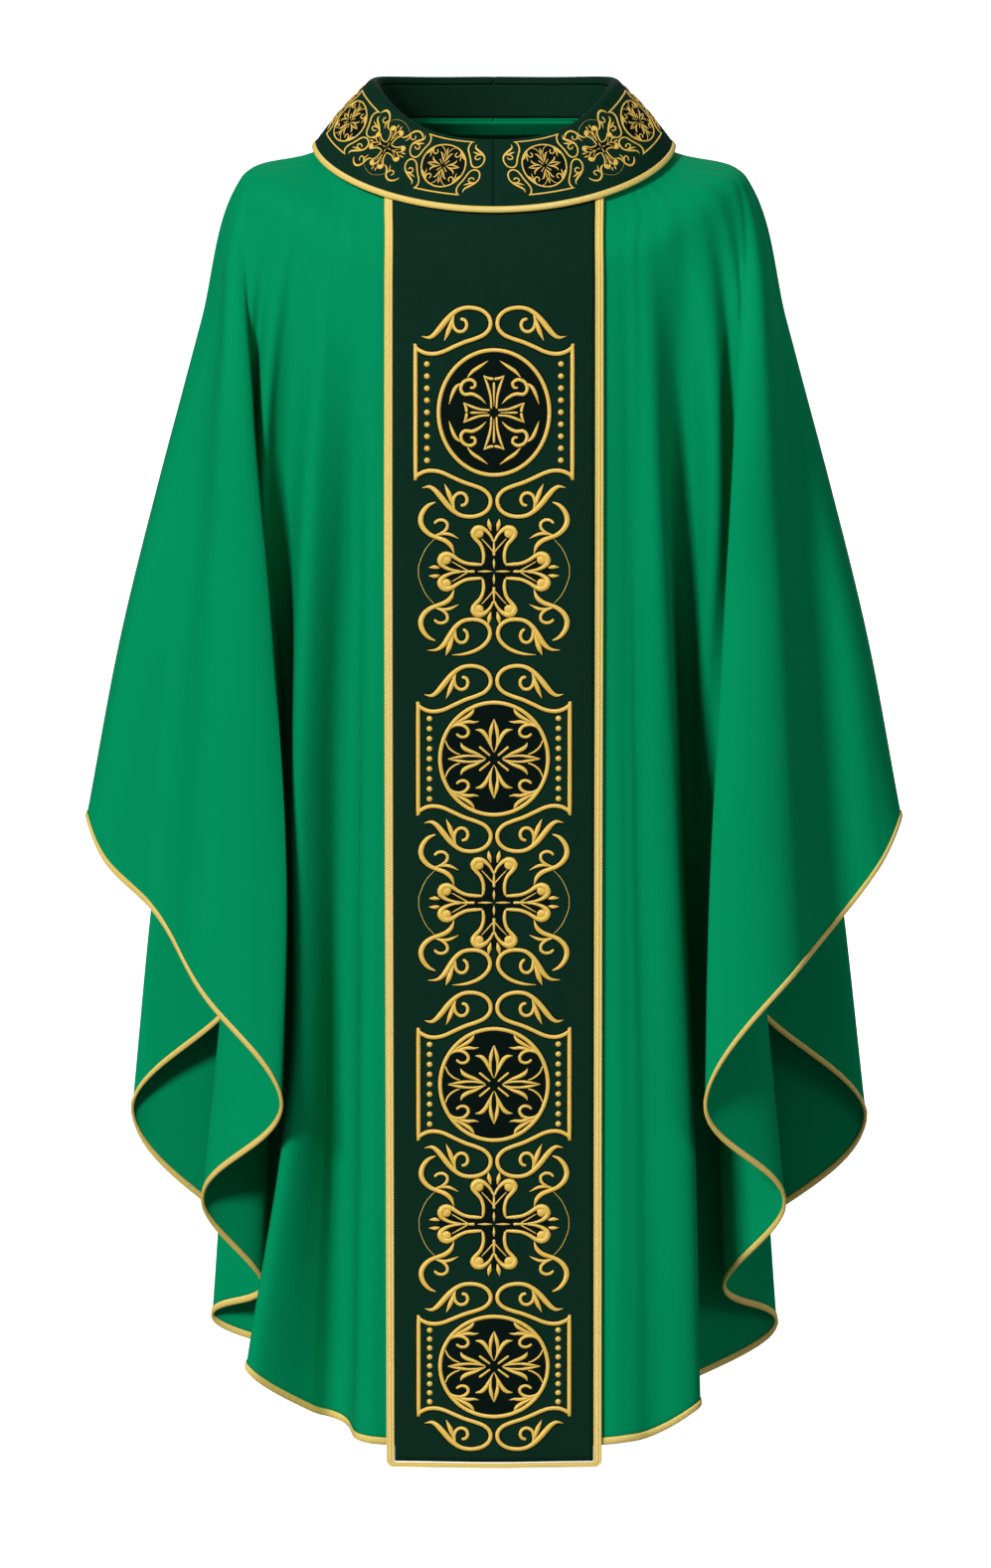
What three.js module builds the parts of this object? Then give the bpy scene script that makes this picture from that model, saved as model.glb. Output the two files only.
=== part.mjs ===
// A chasuble: a sleeveless vestment that hangs from the shoulders, with a centre band (the orphrey), a
// rolled collar and a bound hem. Millimetres, +Z up, the front faces -Y. The origin is the middle of the
// neck opening, level with the points where the collar meets the shoulder lines. The wearer's right is -X.
import * as THREE from 'three';

// Cloth, trims and the gaps between neighbouring pieces.
const gap = 0.4;
const clothThickness = 1.4;
const bindingWidth = 8;
const bindingProud = 0.3;
const bindingGap = 2.4;
const bandHalfWidth = 108;
const bandOverhang = 22;
const bandStraightEnd = 0.95;
const bandCornerCut = 1;
const bandFirstRow = { band: 1, interlining: 4 };
const interliningSetback = 6;
const braidWidth = 8;
const bottomBraidWidth = 5;
const braidCorner = 6;
const braidInnerCorner = 1;
const braidStart = 0.05;
const facingWidth = 34;
const collarThickness = 1.3;
const collarMotifDepths = [2.3, 3.3];
const interliningDepths = [-1.6, -0.8];
const pipingRadius = 3;
const pipingFacets = { along: 44, around: 6 };

// How far each layer of the centre band lies outside the panel's inner face, from and to.
const layers = {
  panel: [0, clothThickness],
  facing: [-2.4, -1.2],
  interlining: [2.4, 3.2],
  band: [3.6, 4.6],
  braid: [2.8, 5.6],
  embroidery: [5.5, 6.7],
};

// Ovals round the neck: half-width, depth in front and behind, height at the sides, and how much lower the
// front and the back are.
const neckline = { half: 104, front: 84, back: 74, side: 0, frontDip: 44, backDip: 10, power: 1.3 };
const yoke = { half: 180, front: 114, back: 110, side: -32, frontDip: 52, backDip: 24, power: 1.3 };
const shoulderBreak = { half: 252, front: 140, back: 124, side: -58, frontDip: 92, backDip: 67, power: 2 };
const collarEdge = { half: 180, front: 115, back: 112, side: -25, frontDip: 46, backDip: 12, power: 1.3 };
const rollLine = { half: 118, front: 86, back: 80, side: 45, frontDip: 45, backDip: 10 };

// The fold lines of one half of the garment, from the centre front round the arm to the centre back. Each
// leaves the neckline at an angle (0 is the front), crosses the shoulder break at a half-width (reach), and
// then hangs through four points [x, y] at the hang levels, down to its own hem height. The first lines
// are for the wearer's right. steps is how many facets follow it, and round is how soft its fold is.
const hangLevels = [0.22, 0.47, 0.73, 1];
const lineKnots = [0, 0.06, 0.14, 0.33, 0.55, 0.775, 1];
const rightLines = [
  { name: 'centre_front', angle: 0, reach: 0, hem: -1319, round: 1, steps: 3,
    hang: [[0, -158], [0, -162], [0, -162], [0, -166]] },
  { name: 'front_band_edge', angle: 36.5, reach: 106, hem: -1319, round: 1, steps: 1,
    hang: [[106, -153], [107, -157], [108, -157], [108.5, -160]] },
  { name: 'front_ridge', angle: 43, reach: 124, hem: -1317, round: 0.9, steps: 2,
    hang: [[126, -146], [127, -152], [127, -155], [128, -160]] },
  { name: 'front_valley', angle: 48, reach: 141, hem: -1309, round: 0.9, steps: 2,
    hang: [[147, -133], [154, -126], [157, -114], [163, -106]] },
  { name: 'front_lobe', angle: 53, reach: 160, hem: -1251, round: 0.6, steps: 2,
    hang: [[184, -141], [198, -143], [201, -138], [247, -125]] },
  { name: 'lobe_return', angle: 59, reach: 182, hem: -1265, round: 0.7, steps: 2,
    hang: [[207, -104], [200, -74], [186, -46], [167, -40]] },
  { name: 'inner_ridge', angle: 65, reach: 204, hem: -1223, round: 0.6, steps: 1,
    hang: [[231, -118], [218, -82], [262, -30], [285, 2]] },
  { name: 'inner_valley', angle: 69, reach: 217, hem: -1191, round: 0.5, steps: 1,
    hang: [[240, -96], [230, -92], [224, -62], [235, -42]] },
  { name: 'cascade_edge', angle: 72, reach: 229, hem: -1088, round: 0.6, steps: 2,
    hang: [[248, -108], [255, -108], [268, -98], [294, -88]] },
  { name: 'drape_edge', angle: 76, reach: 243, hem: -962, round: 0.6, steps: 2,
    hang: [[238, -126], [219, -148], [206, -165], [214, -175]] },
  { name: 'drape_ridge', angle: 80, reach: 249, hem: -861, round: 0.8, steps: 2,
    hang: [[266, -119], [274, -139], [281, -151], [289, -160]] },
  { name: 'drape_valley', angle: 84, reach: 251, hem: -782, round: 0.9, steps: 1,
    hang: [[276, -76], [303, -82], [327, -82], [347, -84]] },
  { name: 'drape_lip', angle: 87, reach: 251.8, hem: -745, round: 0.8, steps: 1,
    hang: [[288, -42], [330, -56], [367, -62], [388, -64]] },
  { name: 'side_edge', angle: 90, reach: 252, hem: -704, round: 0.6, steps: 1,
    hang: [[292, -5], [335, -12], [376, -20], [409, -28]] },
  { name: 'back_lip', angle: 94, reach: 251.4, hem: -765, round: 0.8, steps: 2,
    hang: [[287, 30], [325, 30], [357, 22], [376, 14]] },
  { name: 'back_drape_edge', angle: 100, reach: 248, hem: -888, round: 0.6, steps: 2,
    hang: [[252, 62], [248, 58], [248, 50], [257, 48]] },
  { name: 'back_outer_edge', angle: 108, reach: 240, hem: -1033, round: 0.6, steps: 2,
    hang: [[272, 84], [303, 90], [340, 88], [366, 86]] },
  { name: 'back_inner_valley', angle: 116, reach: 226, hem: -1172, round: 0.7, steps: 2,
    hang: [[246, 98], [243, 104], [241, 110], [250, 118]] },
  { name: 'back_lobe', angle: 124, reach: 204, hem: -1215, round: 0.8, steps: 2,
    hang: [[212, 126], [214, 148], [218, 156], [224, 160]] },
  { name: 'back_valley', angle: 132, reach: 170, hem: -1270, round: 0.9, steps: 2,
    hang: [[170, 118], [166, 120], [160, 120], [158, 122]] },
  { name: 'back_ridge', angle: 139, reach: 136, hem: -1311, round: 0.9, steps: 1,
    hang: [[134, 138], [130, 144], [128, 147], [128, 150]] },
  { name: 'back_band_edge', angle: 143.5, reach: 106, hem: -1318, round: 1, steps: 3,
    hang: [[106, 140], [107, 145], [108, 147], [108.5, 149]] },
  { name: 'centre_back', angle: 180, reach: 0, hem: -1319, round: 1, steps: 0,
    hang: [[0, 145], [0, 150], [0, 151], [0, 153]] },
];

// The wearer's left hangs a little differently: a narrower front lobe and no valley beside the band.
const leftChanges = {
  front_ridge: { hang: [[126, -148], [127, -155], [127, -157], [128, -160]] },
  front_valley: { reach: 136, hem: -1314, hang: [[138, -144], [143, -150], [150, -150], [156, -148]] },
  front_lobe: { reach: 148, hem: -1289, hang: [[162, -143], [179, -142], [195, -140], [204, -130]] },
  lobe_return: { reach: 176, hem: -1300, hang: [[186, -98], [192, -68], [186, -44], [168, -42]] },
  inner_ridge: { hem: -1229, hang: [[224, -122], [218, -82], [262, -30], [286, 2]] },
  inner_valley: { hang: [[237, -98], [230, -92], [226, -62], [234, -42]] },
  cascade_edge: { hem: -1092, hang: [[250, -110], [256, -108], [268, -98], [293, -88]] },
  drape_edge: { hem: -968, hang: [[240, -126], [228, -147], [216, -163], [212, -172]] },
  drape_ridge: { hem: -835, hang: [[268, -119], [280, -138], [291, -150], [303, -156]] },
  drape_valley: { hem: -812, hang: [[284, -74], [306, -82], [320, -86], [334, -88]] },
  back_outer_edge: { hem: -1043, hang: [[274, 84], [306, 90], [346, 88], [376, 86]] },
};
const leftLines = rightLines.map((line) => ({ ...line, ...leftChanges[line.name] }));
const sideLine = rightLines.findIndex((line) => line.name === 'side_edge');
const lastLine = rightLines.length - 1;

// Levels down the garment where a row of facets ends, and where the rows of the band lie.
const panelRows = [0, 0.03, 0.06, 0.1, 0.14, 0.19, 0.26, 0.35, 0.46, 0.58, 0.7, 0.81, 0.91, 1];

// Heights of the embroidered motifs on the band, with the half-height of each medallion.
const medallions = [[-267, 100], [-615, 88], [-948, 86], [-1237, 84]];
const crossHeights = [-426, -762, -1091];
const medallionHalfWidth = 80;
const crossReach = { across: 62, up: 49, bar: 8, flare: 20, waist: 0.6, point: 4 };

// Motifs on the collar: angle from the centre front, place down the fall (0 roll, 1 edge), half-sizes.
const collarMotifs = [
  { name: 'medallion_front', angle: 20, down: 0.48, half: [24, 24] },
  { name: 'cross_front', angle: 46, down: 0.5, half: [16, 22] },
  { name: 'medallion_side', angle: 73, down: 0.5, half: [20, 23] },
  { name: 'cross_back', angle: 112, down: 0.5, half: [16, 22] },
  { name: 'medallion_back', angle: 146, down: 0.48, half: [24, 24] },
];

const greenCloth = { color: 0x0a9a66, roughness: 0.85, metalness: 0 };
const darkCloth = { color: 0x10352a, roughness: 0.9, metalness: 0 };
const goldTrim = { color: 0xe3bf63, roughness: 0.45, metalness: 0.2 };
const paleLining = { color: 0xd9d4c4, roughness: 0.95, metalness: 0 };

const chasuble = new THREE.Group();

function addPiece(name, geometry, finish) {
  const mesh = new THREE.Mesh(geometry, new THREE.MeshStandardMaterial(finish));
  mesh.name = name;
  chasuble.add(mesh);
}

// A point on an oval, at an angle in radians from the front.
function ovalPoint(oval, angle) {
  const sine = Math.sin(angle);
  const cosine = Math.cos(angle);
  const depth = cosine > 0 ? oval.front : oval.back;
  const dip = cosine > 0 ? oval.frontDip : oval.backDip;
  const height = oval.side - dip * Math.abs(cosine) ** oval.power;
  return new THREE.Vector3(oval.half * sine, -depth * cosine, height);
}

// A smooth curve through points at uneven knots; past the last knot it goes straight on.
function curvePoint(points, knots, t) {
  const slope = (i) => {
    const before = Math.max(i - 1, 0);
    const after = Math.min(i + 1, points.length - 1);
    return points[after].clone().sub(points[before]).divideScalar(knots[after] - knots[before]);
  };
  const last = points.length - 1;
  if (t >= 1) return points[last].clone().addScaledVector(slope(last), t - 1);
  const i = Math.max(knots.findIndex((knot) => knot > t) - 1, 0);
  const width = knots[i + 1] - knots[i];
  const u = (t - knots[i]) / width;
  const point = points[i].clone().multiplyScalar((1 + 2 * u) * (1 - u) ** 2);
  point.addScaledVector(slope(i), width * u * (1 - u) ** 2);
  point.addScaledVector(points[i + 1], u * u * (3 - 2 * u));
  return point.addScaledVector(slope(i + 1), width * u * u * (u - 1));
}

function linePoints(line) {
  const lean = Math.asin(line.reach / shoulderBreak.half);
  const neckAngle = THREE.MathUtils.degToRad(line.angle);
  const shoulder = ovalPoint(shoulderBreak, line.angle > 90 ? Math.PI - lean : lean);
  const hang = line.hang.map(([x, y], level) => {
    const z = THREE.MathUtils.lerp(shoulder.z, line.hem, hangLevels[level]);
    return new THREE.Vector3(x, y, z);
  });
  return [ovalPoint(neckline, neckAngle), ovalPoint(yoke, neckAngle), shoulder, ...hang];
}

// One half of the body cloth. s counts fold lines from the centre front, t runs from neckline to hem.
class HalfGarment {
  constructor(lines, sign) {
    this.lines = lines.map((line) => ({ ...line, points: linePoints(line) }));
    this.sign = sign;
  }

  linePoint(index, t) {
    if (index >= 0 && index <= lastLine) return curvePoint(this.lines[index].points, lineKnots, t);
    const mirrored = curvePoint(this.lines[index < 0 ? 1 : lastLine - 1].points, lineKnots, t);
    mirrored.x *= -1;
    return mirrored;
  }

  // Direction across a fold line, shorter where the cloth turns sharply.
  across(index, t, length) {
    const here = this.linePoint(index, t);
    const before = here.clone().sub(this.linePoint(index - 1, t));
    const after = this.linePoint(index + 1, t).sub(here);
    const weightBefore = after.length();
    const weightAfter = before.length();
    const turn = before.clone().normalize().add(after.clone().normalize()).length() / 2;
    const direction = before.normalize().multiplyScalar(weightBefore);
    direction.addScaledVector(after.normalize(), weightAfter).normalize();
    return direction.multiplyScalar(length * THREE.MathUtils.lerp(this.lines[index].round, 1, turn));
  }

  onSurface(s, t) {
    const i = Math.min(Math.floor(s), lastLine - 1);
    const u = s - i;
    const start = this.linePoint(i, t);
    const end = this.linePoint(i + 1, t);
    const length = start.distanceTo(end);
    const point = start.multiplyScalar((1 + 2 * u) * (1 - u) ** 2);
    point.addScaledVector(this.across(i, t, length), u * (1 - u) ** 2);
    point.addScaledVector(end, u * u * (3 - 2 * u));
    return point.addScaledVector(this.across(i + 1, t, length), u * u * (u - 1));
  }

  // A point a given depth outside the surface, moved along the row by inset.
  point(s, t, depth, inset = 0) {
    const step = 0.01;
    const ends = [Math.max(s - step, 0), Math.min(s + step, lastLine)];
    const alongRow = this.onSurface(ends[1], t).sub(this.onSurface(ends[0], t)).normalize();
    const downLine = this.onSurface(s, t + step).sub(this.onSurface(s, Math.max(t - step, 0)));
    const outward = downLine.cross(alongRow).normalize();
    const place = this.onSurface(s, t).addScaledVector(outward, depth).addScaledVector(alongRow, inset);
    place.x *= this.sign;
    return place;
  }

  lineLength(s) {
    const samples = 12;
    let length = 0;
    for (let i = 0; i < samples; i += 1) {
      length += this.onSurface(s, i / samples).distanceTo(this.onSurface(s, (i + 1) / samples));
    }
    return length;
  }
}

const rightHalf = new HalfGarment(rightLines, -1);
const leftHalf = new HalfGarment(leftLines, 1);

// A closed sheet between an inner and an outer grid of points: pointAt(column, row, layer).
function sheet(columns, rows, pointAt, { ring = false, mirrored = false } = {}) {
  const stride = ring ? columns : columns + 1;
  const positions = [];
  for (let layer = 0; layer < 2; layer += 1) {
    for (let row = 0; row <= rows; row += 1) {
      for (let column = 0; column < stride; column += 1) {
        positions.push(...pointAt(column, row, layer).toArray());
      }
    }
  }
  const corner = (column, row, layer) => (layer * (rows + 1) + row) * stride + (column % stride);
  const index = [];
  const addQuad = (a, b, c, d) => {
    const [p, q] = mirrored ? [d, b] : [b, d];
    index.push(a, p, c, a, c, q);
  };
  for (let column = 0; column < columns; column += 1) {
    const next = column + 1;
    for (let row = 0; row < rows; row += 1) {
      const outer = [corner(column, row, 1), corner(column, row + 1, 1)];
      const inner = [corner(column, row, 0), corner(column, row + 1, 0)];
      addQuad(outer[0], outer[1], corner(next, row + 1, 1), corner(next, row, 1));
      addQuad(inner[0], corner(next, row, 0), corner(next, row + 1, 0), inner[1]);
    }
    const top = [corner(column, 0, 1), corner(next, 0, 1), corner(next, 0, 0), corner(column, 0, 0)];
    const hem = [corner(column, rows, 0), corner(next, rows, 0), corner(next, rows, 1)];
    addQuad(...top);
    addQuad(...hem, corner(column, rows, 1));
  }
  for (let row = 0; row < rows && !ring; row += 1) {
    const below = row + 1;
    addQuad(corner(0, row, 1), corner(0, row, 0), corner(0, below, 0), corner(0, below, 1));
    const last = [corner(columns, row, 0), corner(columns, row, 1), corner(columns, below, 1)];
    addQuad(...last, corner(columns, below, 0));
  }
  const geometry = new THREE.BufferGeometry();
  geometry.setAttribute('position', new THREE.Float32BufferAttribute(positions, 3));
  geometry.setIndex(index);
  return geometry;
}

// Places along a row, in fold-line counts, between two fold lines.
function rowPlaces(half, first, last) {
  const places = [];
  for (let line = first; line < last; line += 1) {
    const { steps } = half.lines[line];
    for (let step = 0; step < steps; step += 1) places.push(line + step / steps);
  }
  return [...places, last];
}

function seamInset(column, columns) {
  if (column === 0) return gap / 2;
  return column === columns ? -gap / 2 : 0;
}

function panel(half, first, last) {
  const places = rowPlaces(half, first, last);
  const columns = places.length - 1;
  const edges = places.map((s) => 1 - bindingWidth / half.lineLength(s));
  return sheet(columns, panelRows.length - 1, (column, row, layer) => {
    const t = panelRows[row] * edges[column];
    return half.point(places[column], t, layers.panel[layer], seamInset(column, columns));
  }, { mirrored: half.sign < 0 });
}

function hemBinding(half, first, last) {
  const places = rowPlaces(half, first, last);
  const columns = places.length - 1;
  const depths = [-bindingProud, clothThickness + bindingProud];
  return sheet(columns, 1, (column, row, layer) => {
    const start = 1 - (bindingWidth - bindingGap) / half.lineLength(places[column]);
    return half.point(places[column], row ? 1 : start, depths[layer], seamInset(column, columns));
  }, { mirrored: half.sign < 0 });
}

const halves = { right: rightHalf, left: leftHalf };
Object.entries(halves).forEach(([side, half]) => {
  addPiece(`front_${side}_panel`, panel(half, 0, sideLine), greenCloth);
  addPiece(`back_${side}_panel`, panel(half, sideLine, lastLine), greenCloth);
  addPiece(`front_${side}_hem_binding`, hemBinding(half, 0, sideLine), goldTrim);
  addPiece(`back_${side}_hem_binding`, hemBinding(half, sideLine, lastLine), goldTrim);
});

// The facing is a strip inside the whole neckline.
function neckFacing() {
  const places = rowPlaces(rightHalf, 0, lastLine).filter((s) => Number.isInteger(s));
  const loop = [
    ...places.map((s) => [leftHalf, s]),
    ...places.slice(1, -1).reverse().map((s) => [rightHalf, s]),
  ];
  return sheet(loop.length, 2, (column, row, layer) => {
    const [half, s] = loop[column];
    const t = ((gap + (facingWidth * row) / 2) / half.lineLength(s));
    return half.point(s, t, layers.facing[layer]);
  }, { ring: true });
}
addPiece('neck_facing', neckFacing(), greenCloth);

// A stay tape inside each shoulder seam, from the facing to the point of the shoulder.
function shoulderTape(half) {
  const levels = [0.06, 0.1, 0.14, 0.19];
  return sheet(4, levels.length - 1, (column, row, layer) => (
    half.point(sideLine - 2 + column, levels[row], layers.facing[layer])
  ), { mirrored: half.sign < 0 });
}
addPiece('right_shoulder_tape', shoulderTape(rightHalf), paleLining);
addPiece('left_shoulder_tape', shoulderTape(leftHalf), paleLining);

// The centre band lies on both halves at once. across goes from -1 to 1, as seen by a viewer of that face.
function bandPoint(face, across, t, depth) {
  const onFront = face === 'front';
  const worn = onFront ? across : -across;
  const half = worn < 0 ? rightHalf : leftHalf;
  return half.point(onFront ? Math.abs(worn) : lastLine - Math.abs(worn), t, depth);
}

// The level of a height on the centre line, found by halving.
function levelAt(face, height) {
  const line = face === 'front' ? 0 : lastLine;
  const halvings = 30;
  let [low, high] = [0, 1.1];
  for (let i = 0; i < halvings; i += 1) {
    const middle = (low + high) / 2;
    if (rightHalf.linePoint(line, middle).z > height) low = middle;
    else high = middle;
  }
  return low;
}

function clothHem(face) {
  return (face === 'front' ? rightLines[0] : rightLines[lastLine]).hem;
}

// A layer of the band, whose lower corners are cut a little, to sit inside the braid.
function bandLayer(face, lowest, depths, firstRow) {
  const columns = 6;
  const halfWidth = bandHalfWidth - braidWidth - gap;
  const levels = panelRows.slice(firstRow).filter((t) => t < bandStraightEnd);
  const heights = [...levels, levelAt(face, lowest + bandCornerCut), levelAt(face, lowest)];
  const widths = heights.map(() => halfWidth);
  widths[widths.length - 1] = halfWidth - bandCornerCut;
  return sheet(columns, heights.length - 1, (column, row, layer) => {
    const across = ((2 * column) / columns - 1) * (widths[row] / bandHalfWidth);
    return bandPoint(face, across, heights[row], depths[layer]);
  });
}

// The braid runs down one side of the band, round its lower end and up the other side.
function bandBraid(face) {
  const lowest = clothHem(face) - bandOverhang;
  const straight = panelRows.filter((t) => t > braidStart && t < bandStraightEnd);
  const corner = [0, 22.5, 45, 67.5, 90].map((angle) => THREE.MathUtils.degToRad(angle));
  const bottomStops = [-0.85, -0.6, -0.3, 0, 0.3, 0.6, 0.85];
  const bottom = bottomStops.map((x) => ({ x, sine: 1, cosine: 0, middle: bandHalfWidth }));
  const route = straight.map((t) => ({ x: -1, t, sine: 0, cosine: 1 }));
  corner.forEach((a) => route.push({ x: -1, angle: a, sine: Math.sin(a), cosine: Math.cos(a) }));
  const back = route.slice().reverse().map((stop) => ({ ...stop, x: 1 }));
  const stops = [...route, ...bottom, ...back];
  return sheet(stops.length - 1, 1, (column, row, layer) => {
    const stop = stops[column];
    const inner = row === 1;
    const radius = inner ? braidInnerCorner : braidCorner;
    const middle = stop.middle ?? bandHalfWidth - (inner ? braidWidth : 0) - radius;
    const across = (stop.x * (middle + radius * stop.cosine)) / bandHalfWidth;
    const cornerHeight = lowest + (inner ? bottomBraidWidth : 0) + radius;
    const t = stop.t ?? levelAt(face, cornerHeight - radius * stop.sine);
    return bandPoint(face, across, t, layers.braid[layer]);
  }, { mirrored: true });
}

function medallion(face, centre, halfHeight) {
  const outline = [[1, 0.66], [0.7, 0.72], [0.56, 1], [0, 1], [-0.56, 1], [-0.7, 0.72], [-1, 0.66]];
  const columns = 6;
  return sheet(columns, outline.length - 1, (column, row, layer) => {
    const [up, wide] = outline[row];
    const across = ((2 * column) / columns - 1) * wide * (medallionHalfWidth / bandHalfWidth);
    return bandPoint(face, across, levelAt(face, centre + up * halfHeight), layers.embroidery[layer]);
  });
}

// A cross with widening arms, cut flat and then laid on the band.
function cross(face, centre) {
  const { across, up, bar, flare, waist, point } = crossReach;
  const quarter = [[bar, up * waist], [flare, up], [0, up + point]];
  const side = [[across * waist, bar], [across, flare], [across + point, 0]];
  const topRight = [...quarter.slice().reverse(), [bar, bar], ...side];
  const turned = [
    ...topRight,
    ...topRight.slice(0, -1).reverse().map(([x, y]) => [x, -y]),
    ...topRight.slice(1).map(([x, y]) => [-x, -y]),
    ...topRight.slice(1, -1).reverse().map(([x, y]) => [-x, y]),
  ];
  const shape = new THREE.Shape(turned.map(([x, y]) => new THREE.Vector2(x, y)));
  const [from, to] = layers.embroidery;
  const geometry = new THREE.ExtrudeGeometry(shape, { depth: to - from, bevelEnabled: false });
  const places = geometry.attributes.position;
  for (let i = 0; i < places.count; i += 1) {
    const level = levelAt(face, centre + places.getY(i));
    const place = bandPoint(face, places.getX(i) / bandHalfWidth, level, from + places.getZ(i));
    places.setXYZ(i, ...place.toArray());
  }
  return geometry;
}

['front', 'back'].forEach((face) => {
  const hem = clothHem(face);
  const bandEnd = hem - bandOverhang + bottomBraidWidth + 2 * gap;
  const liningEnd = hem + bindingWidth + interliningSetback;
  const interlining = bandLayer(face, liningEnd, layers.interlining, bandFirstRow.interlining);
  addPiece(`${face}_band_interlining`, interlining, paleLining);
  addPiece(`${face}_band`, bandLayer(face, bandEnd, layers.band, bandFirstRow.band), darkCloth);
  addPiece(`${face}_band_braid`, bandBraid(face), goldTrim);
  medallions.forEach(([centre, halfHeight], i) => {
    addPiece(`${face}_medallion_${i + 1}`, medallion(face, centre, halfHeight), goldTrim);
  });
  crossHeights.forEach((centre, i) => addPiece(`${face}_cross_${i + 1}`, cross(face, centre), goldTrim));
});

// The collar. Its fold at the top (the roll line) dips in front.
function rollPoint(angle) {
  const sine = Math.abs(Math.sin(angle));
  const cosine = Math.cos(angle);
  const dip = (cosine > 0 ? rollLine.frontDip : rollLine.backDip) * (1 - sine ** 3);
  const depth = cosine > 0 ? rollLine.front : rollLine.back;
  return new THREE.Vector3(rollLine.half * Math.sin(angle), -depth * cosine, rollLine.side - dip);
}

// A point on a collar wall between two of its rings, a depth outside it.
function collarPoint(lower, upper, angle, up, depth) {
  const step = 0.01;
  const place = (a, share) => lower(a).lerp(upper(a), share);
  const round = place(angle + step, up).sub(place(angle - step, up));
  const rise = place(angle, up + step).sub(place(angle, up - step));
  return place(angle, up).addScaledVector(round.cross(rise).normalize(), depth);
}

const neckRing = (angle) => ovalPoint(neckline, angle);
const edgeRing = (angle) => ovalPoint(collarEdge, angle);
const standPoint = (angle, up, depth) => collarPoint(neckRing, rollPoint, angle, up, depth);
const fallPoint = (angle, down, depth) => collarPoint(edgeRing, rollPoint, angle, 1 - down, depth);
const ringSteps = 32;

function collarStand() {
  const heights = [0.94, 0.08];
  return sheet(ringSteps, 1, (column, row, layer) => {
    const angle = (2 * Math.PI * column) / ringSteps;
    return standPoint(angle, heights[row], layer ? 0 : -collarThickness);
  }, { ring: true });
}

function collarWall(from, to, downs, depths) {
  return sheet(ringSteps / 2, downs.length - 1, (column, row, layer) => {
    const angle = THREE.MathUtils.lerp(from, to, (2 * column) / ringSteps);
    return fallPoint(angle, downs[row], depths[layer]);
  });
}

function collarMotif(sign, motif) {
  const [halfWide, halfHigh] = motif.half;
  const angle = THREE.MathUtils.degToRad(motif.angle) * sign;
  const down = edgeRing(angle).distanceTo(rollPoint(angle));
  const step = 0.05;
  const turn = fallPoint(angle + step, motif.down, 0).distanceTo(fallPoint(angle - step, motif.down, 0));
  return sheet(4, 2, (column, row, layer) => {
    const shift = ((column - 2) / 2) * (halfWide / turn) * 2 * step;
    const place = motif.down + (row - 1) * (halfHigh / down);
    return fallPoint(angle + shift, place, collarMotifDepths[layer]);
  });
}

function collarPiping() {
  const { along, around } = pipingFacets;
  const stops = Array.from({ length: along }, (_, i) => edgeRing((2 * Math.PI * i) / along));
  const edge = new THREE.CatmullRomCurve3(stops, true);
  return new THREE.TubeGeometry(edge, along, pipingRadius, around, true);
}

const seamGap = 0.0015;
const fallDowns = [0, 0.33, 0.66, 0.95];
const fallDepths = [0, collarThickness];
addPiece('collar_stand', collarStand(), darkCloth);
const falls = {
  left: [seamGap, Math.PI - seamGap],
  right: [seamGap - Math.PI, -seamGap],
};
Object.entries(falls).forEach(([side, [from, to]]) => {
  addPiece(`collar_fall_${side}`, collarWall(from, to, fallDowns, fallDepths), darkCloth);
});
addPiece('collar_piping', collarPiping(), goldTrim);
Object.entries(halves).forEach(([side, half]) => {
  collarMotifs.forEach((motif) => {
    addPiece(`collar_${side}_${motif.name}`, collarMotif(half.sign, motif), goldTrim);
  });
});

function collarInterlining() {
  const downs = [0.14, 0.5, 0.88];
  return sheet(ringSteps, 2, (column, row, layer) => {
    const angle = (2 * Math.PI * column) / ringSteps;
    return fallPoint(angle, downs[row], interliningDepths[layer]);
  }, { ring: true });
}
addPiece('collar_interlining', collarInterlining(), paleLining);

export default chasuble;
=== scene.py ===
# %% [markdown]
# A chasuble is the sleeveless outer vestment of a priest: a wide cloth with a hole for the head, an
# embroidered band down its middle, a rolled collar and a bound hem. This lesson builds its looks round a
# imported CAD model, which fixes every size and place. We start by loading that model.

# %% Load the frame
import math
import bmesh
import bpy
import numpy as np
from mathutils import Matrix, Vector


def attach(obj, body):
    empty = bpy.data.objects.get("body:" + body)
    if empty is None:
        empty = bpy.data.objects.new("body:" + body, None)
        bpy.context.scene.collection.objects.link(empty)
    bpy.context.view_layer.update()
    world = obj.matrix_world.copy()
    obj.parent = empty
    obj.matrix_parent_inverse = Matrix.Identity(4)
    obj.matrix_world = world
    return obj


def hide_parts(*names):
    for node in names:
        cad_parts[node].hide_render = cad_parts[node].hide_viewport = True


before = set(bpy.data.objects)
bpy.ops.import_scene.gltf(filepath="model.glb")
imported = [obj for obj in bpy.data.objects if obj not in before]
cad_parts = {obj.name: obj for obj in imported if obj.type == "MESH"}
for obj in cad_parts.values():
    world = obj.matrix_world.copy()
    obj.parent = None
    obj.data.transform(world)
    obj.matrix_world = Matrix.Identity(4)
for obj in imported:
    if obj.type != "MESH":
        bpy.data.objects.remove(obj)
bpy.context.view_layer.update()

# %% [markdown]
# The garment hangs clear of the floor, as on a stand. A long lens from far away keeps its sides straight,
# and the camera looks down on it a little. A wide pale floor, one broad sun from the viewer's left and two
# large soft lamps make a plain studio: the sun is the strongest, so the folds shade towards the right.

# %% Camera, floor and lamps
CAMERA_DISTANCE = 20.0
CAMERA_TILT = math.radians(11.5)
VIEW_HEIGHT = 1.577
SENSOR = 36.0
AIM = Vector((0.0015, 0.0, -0.675))

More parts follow.
